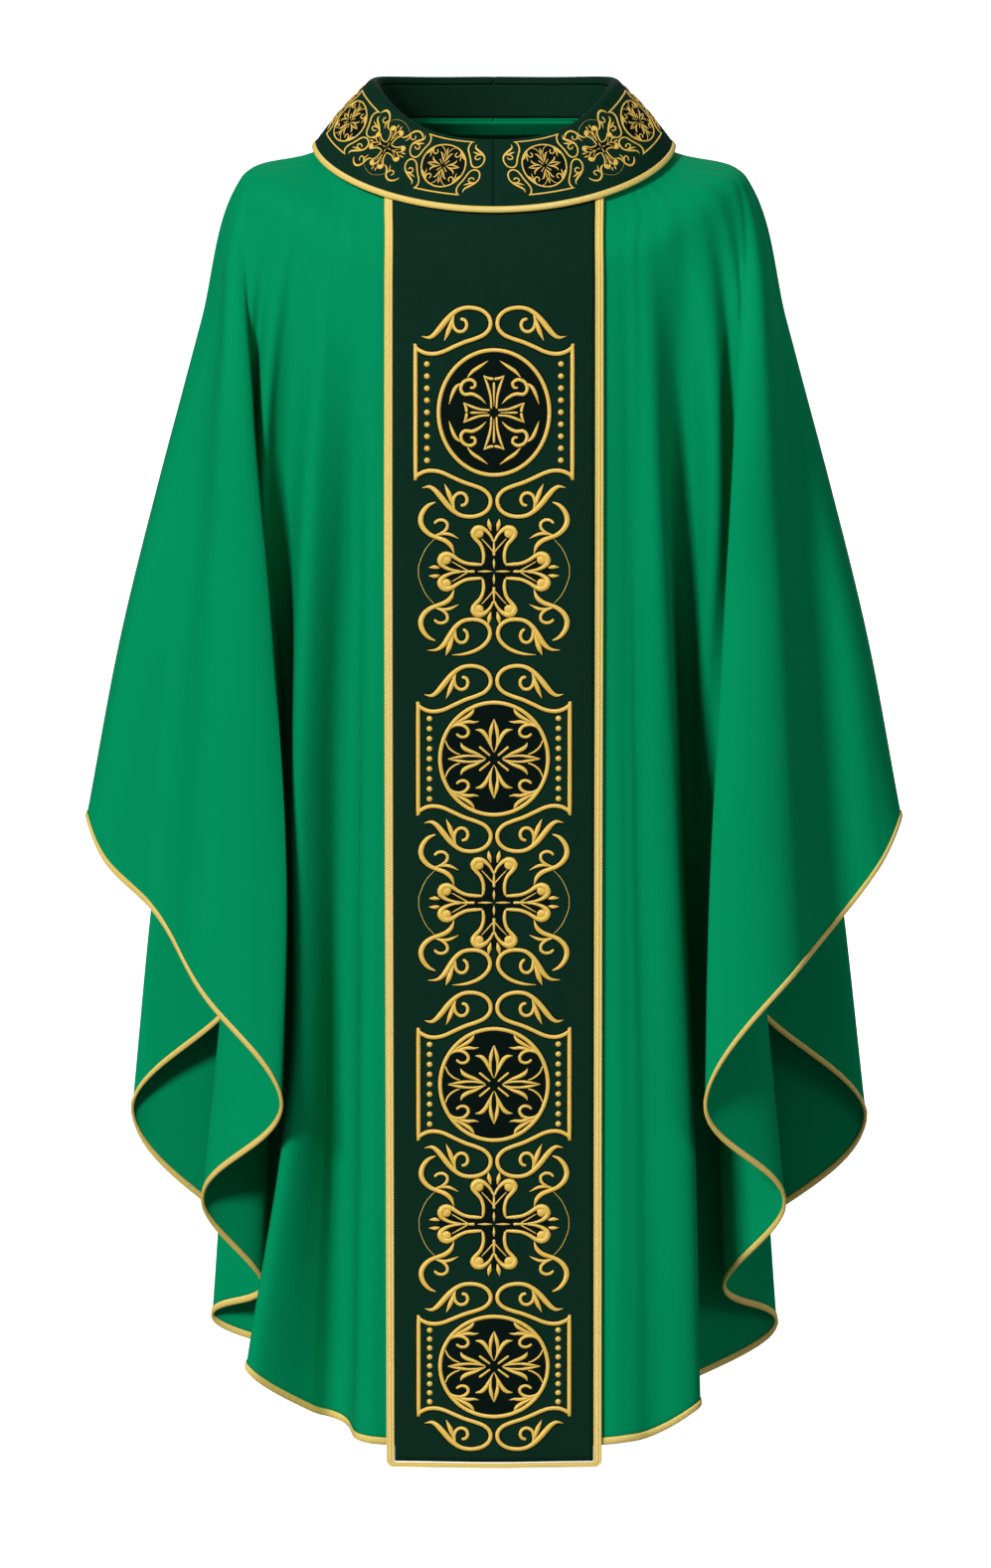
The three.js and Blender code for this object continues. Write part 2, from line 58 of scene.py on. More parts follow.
camera_data = bpy.data.cameras.new("camera")
camera_data.sensor_width = SENSOR
camera_data.lens = SENSOR * CAMERA_DISTANCE / VIEW_HEIGHT
camera_data.clip_end = 100
camera = bpy.data.objects.new("camera", camera_data)
camera.location = AIM + CAMERA_DISTANCE * Vector((0, -math.cos(CAMERA_TILT), math.sin(CAMERA_TILT)))
camera.rotation_euler = (math.pi / 2 - CAMERA_TILT, 0, 0)
bpy.context.scene.collection.objects.link(camera)
bpy.context.scene.camera = camera
print("lens", round(camera_data.lens), "mm")


def lamp(name, kind, place, target, size, power, colour):
    """A disc lamp, with its size in metres, or a sun, with its size in radians."""
    data = bpy.data.lights.new(name, kind)
    if kind == "SUN":
        data.angle = size
    else:
        data.shape, data.size = "DISK", size
    data.energy, data.color = power, colour
    made = bpy.data.objects.new(name, data)
    made.location = place
    made.rotation_euler = (Vector(target) - Vector(place)).to_track_quat("-Z", "Y").to_euler()
    bpy.context.scene.collection.objects.link(made)
    return made


CENTRE = (0, 0, -0.65)
WORLD_LIGHT = 0.17
FLOOR_GLOW = 0.75
lamp("key_lamp", "SUN", (-3.1, -4.4, 2.7), CENTRE, math.radians(12), 3.1, (1.0, 0.985, 0.96))
lamp("fill_lamp", "AREA", (4.2, -2.6, 0.6), CENTRE, 2.0, 38, (0.96, 0.98, 1.0))
lamp("back_lamp", "AREA", (0.5, 4.2, 2.4), CENTRE, 3.0, 90, (1.0, 1.0, 1.0))

world = bpy.data.worlds.new("studio")
world.use_nodes = True
world.node_tree.nodes["Background"].inputs["Color"].default_value = (1, 1, 1, 1)
world.node_tree.nodes["Background"].inputs["Strength"].default_value = WORLD_LIGHT
bpy.context.scene.world = world
bpy.context.scene.view_settings.view_transform = "Standard"
print("key, fill and back lamps")

# %% [markdown]
# Every piece starts as a bmesh grid and is then carried into place. These small helpers make an
# object from a bmesh, and let each vertex of a flat grid be moved by one function that takes all the
# grid's places at once. The grid's own x and y, from 0 to 1, say where on the flat cloth a vertex lies.

# %% Helpers for meshes
def add_object(name, bm, material, smooth=True):
    mesh = bpy.data.meshes.new(name)
    bm.to_mesh(mesh)
    bm.free()
    if smooth:
        mesh.shade_smooth()
    made = bpy.data.objects.new(name, mesh)
    made.data.materials.append(material)
    bpy.context.scene.collection.objects.link(made)
    return made


def laid_grid(bm, across, along, place, uv=None):
    """Adds a grid and moves each vertex by place(x, y), with x and y from 0 to 1."""
    layer = bm.loops.layers.uv.verify()
    verts = bmesh.ops.create_grid(bm, x_segments=across, y_segments=along, size=0.5)["verts"]
    x = np.array([v.co.x + 0.5 for v in verts])
    y = np.array([v.co.y + 0.5 for v in verts])
    places = place(x, y)
    if uv is not None:
        u, v = uv(x, y)
        at = {vert: (u[i], v[i]) for i, vert in enumerate(verts)}
        for face in {f for vert in verts for f in vert.link_faces}:
            for loop in face.loops:
                loop[layer].uv = at[loop.vert]
    for vert, point in zip(verts, places):
        vert.co = point
    return verts


print("helpers ready")

# %% [markdown]
# The body cloth is designed by its fold lines, as a pattern cutter would pin it on a stand. Each line runs
# from the neckline over the shoulder to the hem and hangs in a soft curve; the cloth bends smoothly from
# one line to the next. The places repeat the CAD source, in millimetres, so both models share one shape;
# only the front lobe and the ridge of the drape are less rounded here, for sharper crests.

# %% Rings and fold lines
NECKLINE = dict(half=104, front=84, back=74, side=0, front_dip=44, back_dip=10, power=1.3)
YOKE = dict(half=180, front=114, back=110, side=-32, front_dip=52, back_dip=24, power=1.3)
SHOULDER = dict(half=252, front=140, back=124, side=-58, front_dip=92, back_dip=67, power=2)
COLLAR_EDGE = dict(half=180, front=115, back=112, side=-25, front_dip=46, back_dip=12, power=1.3)
HANG_LEVELS = (0.22, 0.47, 0.73, 1.0)
KNOTS = np.array([0, 0.06, 0.14, 0.33, 0.55, 0.775, 1.0])
# name: (angle, reach, hem, roundness, four points it hangs through)
RIGHT_LINES = {
    "centre_front": (0, 0, -1319, 1, [(0, -158), (0, -162), (0, -162), (0, -166)]),
    "front_band_edge": (36.5, 106, -1319, 1, [(106, -153), (107, -157), (108, -157), (108.5, -160)]),
    "front_ridge": (43, 124, -1317, 0.9, [(126, -146), (127, -152), (127, -155), (128, -160)]),
    "front_valley": (48, 141, -1309, 0.9, [(147, -133), (154, -126), (157, -114), (163, -106)]),
    "front_lobe": (53, 160, -1251, 0.4, [(184, -141), (198, -143), (201, -138), (247, -125)]),
    "lobe_return": (59, 182, -1265, 0.7, [(207, -104), (200, -74), (186, -46), (167, -40)]),
    "inner_ridge": (65, 204, -1223, 0.6, [(231, -118), (218, -82), (262, -30), (285, 2)]),
    "inner_valley": (69, 217, -1191, 0.5, [(240, -96), (230, -92), (224, -62), (235, -42)]),
    "cascade_edge": (72, 229, -1088, 0.6, [(248, -108), (255, -108), (268, -98), (294, -88)]),
    "drape_edge": (76, 243, -962, 0.6, [(238, -126), (219, -148), (206, -165), (214, -175)]),
    "drape_ridge": (80, 249, -861, 0.4, [(266, -119), (274, -139), (281, -151), (289, -160)]),
    "drape_valley": (84, 251, -782, 0.9, [(276, -76), (303, -82), (327, -82), (347, -84)]),
    "drape_lip": (87, 251.8, -745, 0.8, [(288, -42), (330, -56), (367, -62), (388, -64)]),
    "side_edge": (90, 252, -704, 0.6, [(292, -5), (335, -12), (376, -20), (409, -28)]),
    "back_lip": (94, 251.4, -765, 0.8, [(287, 30), (325, 30), (357, 22), (376, 14)]),
    "back_drape_edge": (100, 248, -888, 0.6, [(252, 62), (248, 58), (248, 50), (257, 48)]),
    "back_outer_edge": (108, 240, -1033, 0.6, [(272, 84), (303, 90), (340, 88), (366, 86)]),
    "back_inner_valley": (116, 226, -1172, 0.7, [(246, 98), (243, 104), (241, 110), (250, 118)]),
    "back_lobe": (124, 204, -1215, 0.8, [(212, 126), (214, 148), (218, 156), (224, 160)]),
    "back_valley": (132, 170, -1270, 0.9, [(170, 118), (166, 120), (160, 120), (158, 122)]),
    "back_ridge": (139, 136, -1311, 0.9, [(134, 138), (130, 144), (128, 147), (128, 150)]),
    "back_band_edge": (143.5, 106, -1318, 1, [(106, 140), (107, 145), (108, 147), (108.5, 149)]),
    "centre_back": (180, 0, -1319, 1, [(0, 145), (0, 150), (0, 151), (0, 153)]),
}
LEFT_LINES = dict(RIGHT_LINES)
LEFT_LINES.update({
    "front_ridge": (43, 124, -1317, 0.9, [(126, -148), (127, -155), (127, -157), (128, -160)]),
    "front_valley": (48, 136, -1314, 0.9, [(138, -144), (143, -150), (150, -150), (156, -148)]),
    "front_lobe": (53, 148, -1289, 0.3, [(162, -143), (179, -142), (195, -140), (204, -130)]),
    "lobe_return": (59, 176, -1300, 0.7, [(186, -98), (192, -68), (186, -44), (168, -42)]),
    "inner_ridge": (65, 204, -1229, 0.6, [(224, -122), (218, -82), (262, -30), (286, 2)]),
    "inner_valley": (69, 217, -1191, 0.5, [(237, -98), (230, -92), (226, -62), (234, -42)]),
    "cascade_edge": (72, 229, -1092, 0.6, [(250, -110), (256, -108), (268, -98), (293, -88)]),
    "drape_edge": (76, 243, -968, 0.6, [(240, -126), (228, -147), (216, -163), (212, -172)]),
    "drape_ridge": (80, 249, -835, 0.4, [(268, -119), (280, -138), (291, -150), (303, -156)]),
    "drape_valley": (84, 251, -812, 0.9, [(284, -74), (306, -82), (320, -86), (334, -88)]),
    "back_outer_edge": (108, 240, -1043, 0.6, [(274, 84), (306, 90), (346, 88), (376, 86)]),
})
NAMES = list(RIGHT_LINES)
SIDE = NAMES.index("side_edge")
LAST = len(NAMES) - 1
print(LAST + 1, "fold lines on each half")


# %% [markdown]
# A fold line is a smooth curve through its seven points. Between two lines the cloth follows a second
# smooth curve whose direction at each line is shared by both sides, so it bends but never creases where
# it should not. Working on whole arrays with numpy keeps tens of thousands of vertices fast.

# %% The draped surface
def ring_point(ring, angle):
    sine, cosine = np.sin(angle), np.cos(angle)
    depth = np.where(cosine > 0, ring["front"], ring["back"])
    dip = np.where(cosine > 0, ring["front_dip"], ring["back_dip"])
    height = ring["side"] - dip * np.abs(cosine) ** ring["power"]
    return np.stack([ring["half"] * sine, -depth * cosine, height], -1)


def line_points(angle, reach, hem, roundness, hang):
    lean = math.asin(reach / SHOULDER["half"])
    shoulder = ring_point(SHOULDER, math.pi - lean if angle > 90 else lean)
    neck = math.radians(angle)
    rows = [ring_point(NECKLINE, neck), ring_point(YOKE, neck), shoulder]
    for (x, y), level in zip(hang, HANG_LEVELS):
        rows.append(np.array([x, y, shoulder[2] + (hem - shoulder[2]) * level]))
    return np.array(rows)


def smooth_curve(points, t):
    """Points (..., 7, 3) at the knots, read at levels t: a Catmull-Rom curve, straight past its end."""
    ahead = np.minimum(np.arange(7) + 1, 6)
    behind = np.maximum(np.arange(7) - 1, 0)
    slopes = (points[..., ahead, :] - points[..., behind, :]) / (KNOTS[ahead] - KNOTS[behind])[:, None]
    inside = np.clip(t, 0, 1)
    i = np.clip(np.searchsorted(KNOTS, inside, side="right") - 1, 0, 5)
    width = (KNOTS[i + 1] - KNOTS[i])[:, None]
    u = ((inside - KNOTS[i])[:, None]) / width
    past = np.maximum(t - 1, 0)[:, None]
    p0, p1 = points[..., i, :], points[..., i + 1, :]
    m0, m1 = slopes[..., i, :] * width, slopes[..., i + 1, :] * width
    curve = (1 + 2 * u) * (1 - u) ** 2 * p0 + u * (1 - u) ** 2 * m0
    return curve + u * u * (3 - 2 * u) * p1 + u * u * (u - 1) * m1 + past * slopes[..., 6, :]


def length_of(v):
    return np.maximum(np.linalg.norm(v, axis=-1, keepdims=True), 1e-9)


class Half:
    """One half of the body cloth; s counts fold lines from the centre front, t runs neckline to hem."""

    def __init__(self, lines, sign):
        self.points = np.array([line_points(*lines[name]) for name in NAMES])
        self.roundness = np.array([lines[name][3] for name in NAMES])
        self.sign = sign

    def read(self, index, t):
        """Fold line index (an array) at level t; the lines past either end are mirrored."""
        wanted = np.where(index < 0, 1, np.where(index > LAST, LAST - 1, index))
        found = np.empty((len(t), 3))
        for line in np.unique(wanted):
            chosen = wanted == line
            found[chosen] = smooth_curve(self.points[line], t[chosen])
        found[:, 0] *= np.where((index < 0) | (index > LAST), -1, 1)
        return found

    def surface(self, s, t):
        i = np.clip(np.floor(s).astype(int), 0, LAST - 1)
        u = (s - i)[:, None]
        before, start, end, after = (self.read(i + k, t) for k in (-1, 0, 1, 2))
        size = length_of(end - start)
        out = self.across(start - before, end - start, self.roundness[i]) * size
        into = self.across(end - start, after - end, self.roundness[i + 1]) * size
        place = (1 + 2 * u) * (1 - u) ** 2 * start + u * (1 - u) ** 2 * out
        return place + u * u * (3 - 2 * u) * end + u * u * (u - 1) * into

    @staticmethod
    def across(before, after, roundness):
        a, b = length_of(before), length_of(after)
        turn = length_of(before / a + after / b) / 2
        way = before / a * b + after / b * a
        return way / length_of(way) * (roundness[:, None] + (1 - roundness[:, None]) * turn)

    def place(self, s, t, depth=0.0):
        """Points in metres, a depth in millimetres outside the cloth's inner face."""
        step = 0.01
        low, high = np.maximum(s - step, 0), np.minimum(s + step, LAST)
        row = self.surface(high, t) - self.surface(low, t)
        down = self.surface(s, t + step) - self.surface(s, np.maximum(t - step, 0))
        out = np.cross(down, row)
        point = self.surface(s, t) + out / length_of(out) * np.reshape(depth, (-1, 1))
        return point * (self.sign * 0.001, 0.001, 0.001)


HALVES = {"right": Half(RIGHT_LINES, -1), "left": Half(LEFT_LINES, 1)}
edge = HALVES["right"].place(np.array([float(SIDE)]), np.array([1.0]))
print("tip of the side drape", edge.round(3))

# %% [markdown]
# Cloth is cut flat. To know how the flat piece looked, we unroll the hanging one: each fold line keeps its
# length, and the lines fan out from the neck by the width of cloth between them at one level, so this comes
# near the real cut but is not exact. The unrolled places become the UV map in metres, for the weave.

# %% Unroll the cloth
NECK_RADIUS = 0.1
FAN_LEVEL = 30
LEVELS = np.linspace(0, 1, 41)


def unrolled_tables(half):
    lines = np.array([half.place(np.full(41, float(j)), LEVELS) for j in range(LAST + 1)])
    steps = np.linalg.norm(np.diff(lines, axis=1), axis=-1)
    lengths = np.concatenate([np.zeros((LAST + 1, 1)), np.cumsum(steps, axis=1)], axis=1)
    gaps = np.linalg.norm(np.diff(lines[:, FAN_LEVEL], axis=0), axis=-1)
    radii = NECK_RADIUS + (lengths[1:, FAN_LEVEL] + lengths[:-1, FAN_LEVEL]) / 2
    return lengths, np.concatenate([[0], np.cumsum(gaps / radii)])


TABLES = {side: unrolled_tables(half) for side, half in HALVES.items()}


def unrolled(side, s, t):
    lengths, fan = TABLES[side]
    i = np.clip(np.floor(s).astype(int), 0, LAST - 1)
    row = np.clip(t, 0, 1) * 40
    k = np.clip(np.floor(row).astype(int), 0, 39)
    along = [lengths[i + j, k] * (1 - row + k) + lengths[i + j, k + 1] * (row - k) for j in (0, 1)]
    r = NECK_RADIUS + along[0] * (1 - s + i) + along[1] * (s - i)
    angle = fan[i] + (fan[i + 1] - fan[i]) * (s - i)
    return r * np.sin(angle), r * np.cos(angle)


for side in HALVES:
    for part, (first, last) in {"front": (0, SIDE), "back": (SIDE, LAST)}.items():
        grid_s, grid_t = np.meshgrid(np.linspace(first, last, 60), np.linspace(0, 1, 41))
        u, v = unrolled(side, grid_s.ravel(), grid_t.ravel())
        print(side, part, "cut about", round(np.ptp(u), 2), "by", round(np.ptp(v), 2), "m")

# %% [markdown]
# Three effects serve several fabrics, so each is a node group with its own inputs. The weave crosses two
# sets of threads, the ribs lay threads side by side, and the drift lets a colour wander a little, as
# dyed cloth does. The groups give out colours and heights only; each fabric keeps its own shader.

# %% Shader groups
def new_group(name, inputs, outputs):
    group = bpy.data.node_groups.new(name, "ShaderNodeTree")
    for label, kind, value in inputs:
        socket = group.interface.new_socket(label, in_out="INPUT", socket_type=kind)
        if value is not None:
            socket.default_value = value
    for label, kind in outputs:
        group.interface.new_socket(label, in_out="OUTPUT", socket_type=kind)
    return group, group.nodes.new("NodeGroupInput"), group.nodes.new("NodeGroupOutput")


def add_node(tree, kind, operation=None, values=(), **links):
    """Adds a node; values go to its inputs in order, and an output given as a value is linked."""
    node = tree.nodes.new(kind)
    if operation:
        node.operation = operation
    for key, value in [*enumerate(values), *links.items()]:
        socket = node.inputs[key if isinstance(key, int) else key.replace("_", " ")]
        if isinstance(value, bpy.types.NodeSocket):
            tree.links.new(value, socket)
        elif value is not None:
            socket.default_value = value
    return node


def mixed_colour(tree, factor, first, second, blend="MIX"):
    """Mixes two colours. The node has an A and a B for every kind of data, so the colour ones are picked."""
    node = tree.nodes.new("ShaderNodeMix")
    node.data_type, node.blend_type = "RGBA", blend
    for name, kind, value in (("Factor", "VALUE", factor), ("A", "RGBA", first), ("B", "RGBA", second)):
        socket = next(s for s in node.inputs if s.name == name and s.type == kind)
        if isinstance(value, bpy.types.NodeSocket):
            tree.links.new(value, socket)
        else:
            socket.default_value = value
    return next(o for o in node.outputs if o.type == "RGBA")


def stripes(tree, value, pitch):
    """Rounded ridges, one for each pitch of value."""
    turns = add_node(tree, "ShaderNodeMath", "DIVIDE", (value, pitch)).outputs[0]
    angle = add_node(tree, "ShaderNodeMath", "MULTIPLY", (turns, math.pi)).outputs[0]
    wave = add_node(tree, "ShaderNodeMath", "SINE", (angle,)).outputs[0]
    return add_node(tree, "ShaderNodeMath", "ABSOLUTE", (wave,)).outputs[0]


weave, given, result = new_group(
    "weave",
    [("Cloth place", "NodeSocketVector", None), ("Thread pitch", "NodeSocketFloat", 0.0006)],
    [("Height", "NodeSocketFloat")])
split = add_node(weave, "ShaderNodeSeparateXYZ", None, (given.outputs["Cloth place"],))
warp = stripes(weave, split.outputs[0], given.outputs["Thread pitch"])
weft = stripes(weave, split.outputs[1], given.outputs["Thread pitch"])
crossed = add_node(weave, "ShaderNodeMath", "MULTIPLY", (warp, weft)).outputs[0]
weave.links.new(crossed, result.inputs["Height"])

ribs, given, result = new_group(
    "ribs",
    [("Place", "NodeSocketVector", None), ("Thread pitch", "NodeSocketFloat", 0.001),
     ("Slant", "NodeSocketFloat", 0.3)],
    [("Height", "NodeSocketFloat")])
split = add_node(ribs, "ShaderNodeSeparateXYZ", None, (given.outputs["Place"],))
lean = add_node(ribs, "ShaderNodeMath", "MULTIPLY", (split.outputs[1], given.outputs["Slant"])).outputs[0]
leaning = add_node(ribs, "ShaderNodeMath", "ADD", (split.outputs[0], lean)).outputs[0]
ridge = stripes(ribs, leaning, given.outputs["Thread pitch"])
ribs.links.new(ridge, result.inputs["Height"])

drift, given, result = new_group(
    "drift",
    [("Place", "NodeSocketVector", None), ("Colour", "NodeSocketColor", (1, 1, 1, 1)),
     ("Other colour", "NodeSocketColor", (1, 1, 1, 1)), ("Scale", "NodeSocketFloat", 8.0)],
    [("Colour", "NodeSocketColor")])
noise = add_node(drift, "ShaderNodeTexNoise", None, (), Vector=given.outputs["Place"],
                 Scale=given.outputs["Scale"], Detail=4.0, Roughness=0.55)
mixed = mixed_colour(drift, noise.outputs[0], given.outputs["Colour"], given.outputs["Other colour"])
drift.links.new(mixed, result.inputs["Colour"])
print("groups", [g.name for g in (weave, ribs, drift)])


# %% [markdown]
# Each fabric joins the groups to one Principled shader. The body is a smooth crepe, the bands a close dark
# cloth, the trims woven gold with ribs across them, and the embroidery satin stitch: rayon thread that
# lies side by side and shines more than cloth. In each, the colour is darkened in the grooves between
# threads as painted shade.

# %% Fabrics
def fabric(name, colour, other, scale, rough, group, pitch, bump, groove_shade, shine=0.06):
    """A cloth: its colour drifts between two, gets painted shade between its threads, and they stand up."""
    made = bpy.data.materials.new(name)
    made.use_nodes = True
    tree = made.node_tree
    shader = tree.nodes["Principled BSDF"]
    where = tree.nodes.new("ShaderNodeTexCoord")
    tone, threads = tree.nodes.new("ShaderNodeGroup"), tree.nodes.new("ShaderNodeGroup")
    tone.node_tree, threads.node_tree = drift, group
    tree.links.new(where.outputs["Object"], tone.inputs["Place"])
    tone.inputs["Colour"].default_value = (*colour, 1)
    tone.inputs["Other colour"].default_value = (*other, 1)
    tone.inputs["Scale"].default_value = scale
    tree.links.new(where.outputs["UV"], threads.inputs[0])
    threads.inputs["Thread pitch"].default_value = pitch
    height = threads.outputs["Height"]
    # Painted shade: the colour is multiplied by the thread height, so it is darker in the grooves between
    # threads.
    shade = mixed_colour(tree, groove_shade, tone.outputs["Colour"], height, "MULTIPLY")
    tree.links.new(shade, shader.inputs["Base Color"])
    relief = add_node(tree, "ShaderNodeBump", Strength=bump, Distance=pitch / 2, Height=height)
    tree.links.new(relief.outputs["Normal"], shader.inputs["Normal"])
    shader.inputs["Roughness"].default_value = rough
    shader.inputs["Specular IOR Level"].default_value = shine
    return made


GREEN, GREEN_DEEP = (0.0006, 0.305, 0.124), (0.0005, 0.275, 0.111)
DARK, DARK_DEEP = (0.0040, 0.034, 0.0190), (0.0030, 0.025, 0.0145)
GOLD, GOLD_DEEP = (1.0, 0.76, 0.17), (0.92, 0.51, 0.035)
BRAID_GOLD, BRAID_DEEP = (1.0, 0.80, 0.25), (0.95, 0.64, 0.10)
crepe = fabric("green_crepe", GREEN, GREEN_DEEP, 5, 0.75, weave, 0.0007, 0.1, groove_shade=0.12, shine=0.015)
velvet = fabric("dark_band_cloth", DARK, DARK_DEEP, 60, 0.8, weave, 0.0009, 0.3, groove_shade=0.3)
# A near-black cloth: the dark ground inside rings and crosses, and also the painted shadow rims laid under
# the gold lines.
dark_fill_and_shadow = fabric("dark_fill_and_painted_shadow", (0.0012, 0.008, 0.006), (0.0008, 0.005, 0.004), 90, 0.7,
                ribs, 0.0008, 0.2, groove_shade=0.3)
braid = fabric("gold_braid", BRAID_GOLD, BRAID_DEEP, 300, 0.4, ribs, 0.0016, 0.5, groove_shade=0.35, shine=0.7)
thread = fabric("gold_thread", GOLD, GOLD_DEEP, 320, 0.34, ribs, 0.0007, 0.35, groove_shade=0.3, shine=0.8)
canvas = fabric("pale_interlining", (0.62, 0.59, 0.50), (0.56, 0.53, 0.44), 30, 0.9, weave, 0.0012, 0.5,
                groove_shade=0.3)
print("fabrics", [m.name for m in bpy.data.materials])

# %% [markdown]
# Each quarter of the body cloth is one sheet. A flat grid is laid over the fold lines, with rows closer
# together over the shoulder, and Solidify then gives it the thickness of crepe. On the left half the grid
# lies mirrored, so its faces are turned round to look outwards again.

# %% Body panels
CLOTH = 0.0009
MIDDLE = 0.7
PANEL_SPLITS = 16
PANEL_ROWS = 190
ROW_CROWDING = 1.25
HEM_SHARE = 0.9985


def thicken(piece, thickness):
    wall = piece.modifiers.new("thickness", "SOLIDIFY")
    wall.thickness = thickness
    wall.offset = 0


def finish_piece(piece, slot, *nodes):
    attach(piece, "root")
    if nodes:
        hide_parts(*nodes)
    return piece


def cloth(name, across, along, place, uv, material, thickness, flip=False, merge=None):
    """A sheet: a laid grid, turned round if flip, its meeting edges merged, and given a thickness."""
    bm = bmesh.new()
    laid_grid(bm, across, along, place, uv)
    if flip:
        bmesh.ops.reverse_faces(bm, faces=bm.faces)
    if merge:
        bmesh.ops.remove_doubles(bm, verts=bm.verts, dist=merge)
    made = add_object(name, bm, material)
    thicken(made, thickness)
    return made


# (place at the top, place at the hem, from level, to level, depth in mm, width in fold lines)
CREASES = {
    "right": [(2.75, 2.95, 0.2, 1.2, 11.0, 0.65), (5.6, 5.0, 0.1, 0.9, 5.0, 0.5),
              (8.6, 9.3, 0.1, 1.0, 4.0, 0.55), (11.3, 11.6, 0.25, 0.95, 2.0, 0.6)],
    "left": [(2.8, 3.1, 0.14, 1.2, 1.5, 0.5), (5.4, 4.9, 0.1, 0.9, 4.0, 0.5),
             (8.4, 9.1, 0.08, 0.9, 2.5, 0.5), (11.2, 11.6, 0.2, 0.95, 2.0, 0.6)],
    "back": [(20.2, 19.2, 0.1, 1.2, 4.0, 0.5), (17.6, 17.2, 0.1, 1.0, 3.5, 0.55),
             (15.2, 14.6, 0.1, 0.9, 3.0, 0.5)],
}
STEP_AT, STEP_DEEP, STEP_FROM = 3.12, 6.5, 0.5


def ripples(side, s, t):
    """Soft folds down the cloth, in millimetres: small waves, creases, and one fold lapped over another."""
    wander = 0.6 * np.sin(4.1 * t + 1.3 * s) + 0.4 * np.sin(7.3 * t - 0.7 * s)
    free = np.clip((np.minimum(s, LAST - s) - 1) / 1.5, 0, 1)
    push = 0.5 * np.sin(5.2 * s + 2.1 * wander) * np.clip(t / 0.2, 0, 1)
    for top, low, start, stop, deep, wide in CREASES[side] + CREASES["back"]:
        off = (s - top - (low - top) * t) / wide
        fade = np.clip((t - start) / 0.16, 0, 1) * np.clip((stop - t) / 0.25, 0, 1)
        push = push - deep * fade * np.exp(-(off / np.where(off > 0, 0.6, 1.0)) ** 2)
    if side == "right":
        off = s - STEP_AT
        lap = np.tanh(off / 0.07) * np.exp(-np.abs(off) / 0.4)
        push = push + STEP_DEEP * lap * np.clip((t - STEP_FROM) / 0.3, 0, 1)
    return push * free


def panel(side, part, first, last):
    half = HALVES[side]

    def lay(x, y):
        s, t = first + (last - first) * x, HEM_SHARE * y ** ROW_CROWDING
        return half.place(s, t, MIDDLE + ripples(side, s, t))

    def cut(x, y):
        return unrolled(side, first + (last - first) * x, y ** ROW_CROWDING)

    name = f"{part}_{side}_panel"
    made = cloth(name + "_cloth", PANEL_SPLITS * (last - first), PANEL_ROWS, lay, cut, crepe, CLOTH,
                 flip=side == "left")
    return finish_piece(made, "body_cloth", name)


for side in HALVES:
    panel(side, "front", 0, SIDE)
    panel(side, "back", SIDE, LAST)

# %% [markdown]
# A narrow gold tape is folded over the raw edge of the hem and stitched through. It is modelled as that:
# a strip whose cross-section runs down the face, round the edge and up the inside, given the thickness of
# the tape afterwards. Its UV runs in metres along the hem, for the ribs of the weave.

# %% Hem binding
TAPE = 0.0006
TAPE_FACE = 7.0
TAPE_WIDTH = 0.016
HEM_SAMPLES = 400
FOLD = [(-TAPE_FACE, 1.75), (-5.5, 2.15), (-3.5, 2.3), (-1.5, 2.15), (-0.2, 1.7), (0.4, 0.7),
        (-0.2, -0.3), (-2.0, -0.75), (-4.5, -0.75), (-TAPE_FACE, -0.35)]


def read_fold(fold, v):
    spots = np.linspace(0, 1, len(fold))
    return np.interp(v, spots, [p[0] for p in fold]), np.interp(v, spots, [p[1] for p in fold])


def binding(side, part, first, last):
    half = HALVES[side]
    fine = np.linspace(first, last, HEM_SAMPLES)
    hem = half.place(fine, np.ones(HEM_SAMPLES))
    run = np.concatenate([[0], np.cumsum(np.linalg.norm(np.diff(hem, axis=0), axis=-1))])

    def lay(x, y):
        s = first + (last - first) * x
        down, out = read_fold(FOLD, y)
        ones = np.ones(len(s))
        speed = np.linalg.norm(half.place(s, ones) - half.place(s, ones * 0.99), axis=-1) / 0.01 * 1000
        waves = ripples(side, s, ones)
        return half.place(s, 1 + down / speed, out + waves)

    def measure(x, y):
        return np.interp(first + (last - first) * x, fine, run), y * TAPE_WIDTH

    name = f"{part}_{side}_hem_binding"
    made = cloth(name + "_tape", 20 * (last - first), len(FOLD) - 1, lay, measure, braid, TAPE,
                 flip=side == "left")
    print(name, round(run[-1], 2), "m of tape")
    return finish_piece(made, "gold_trim", name)


for side in HALVES:
    binding(side, "front", 0, SIDE)
    binding(side, "back", SIDE, LAST)

# %% [markdown]
# The embroidered band lies on both halves of the body at once. To place things on it by width and height,
# as an embroiderer would measure, we tabulate how high the cloth is at each level and read the table
# backwards. Everything on the band is then set out flat, in millimetres from its centre line.

# %% Places on the band
TABLE_ROWS = 420
TABLE_LEVELS = np.linspace(0, 1.12, TABLE_ROWS)
COLUMNS = 8
TABLE_COLUMNS = np.arange(2 * COLUMNS + 1) / COLUMNS


def band_line(face, share):
    return share if face == "front" else LAST - share


TABLES_OF_BAND = {
    (face, side): np.array([
        half.place(np.full(TABLE_ROWS, band_line(face, share)), TABLE_LEVELS) * 1000
        for share in TABLE_COLUMNS])
    for face in ("front", "back") for side, half in HALVES.items()}


def between_columns(values, share):
    """Reads a table with one row for each column at a share that differs from point to point."""
    spot = np.clip(share * COLUMNS, 0, 2 * COLUMNS - 1e-4)
    i, picked = spot.astype(int), np.arange(len(spot))
    return values[i, picked] * (1 - spot + i) + values[i + 1, picked] * (spot - i)


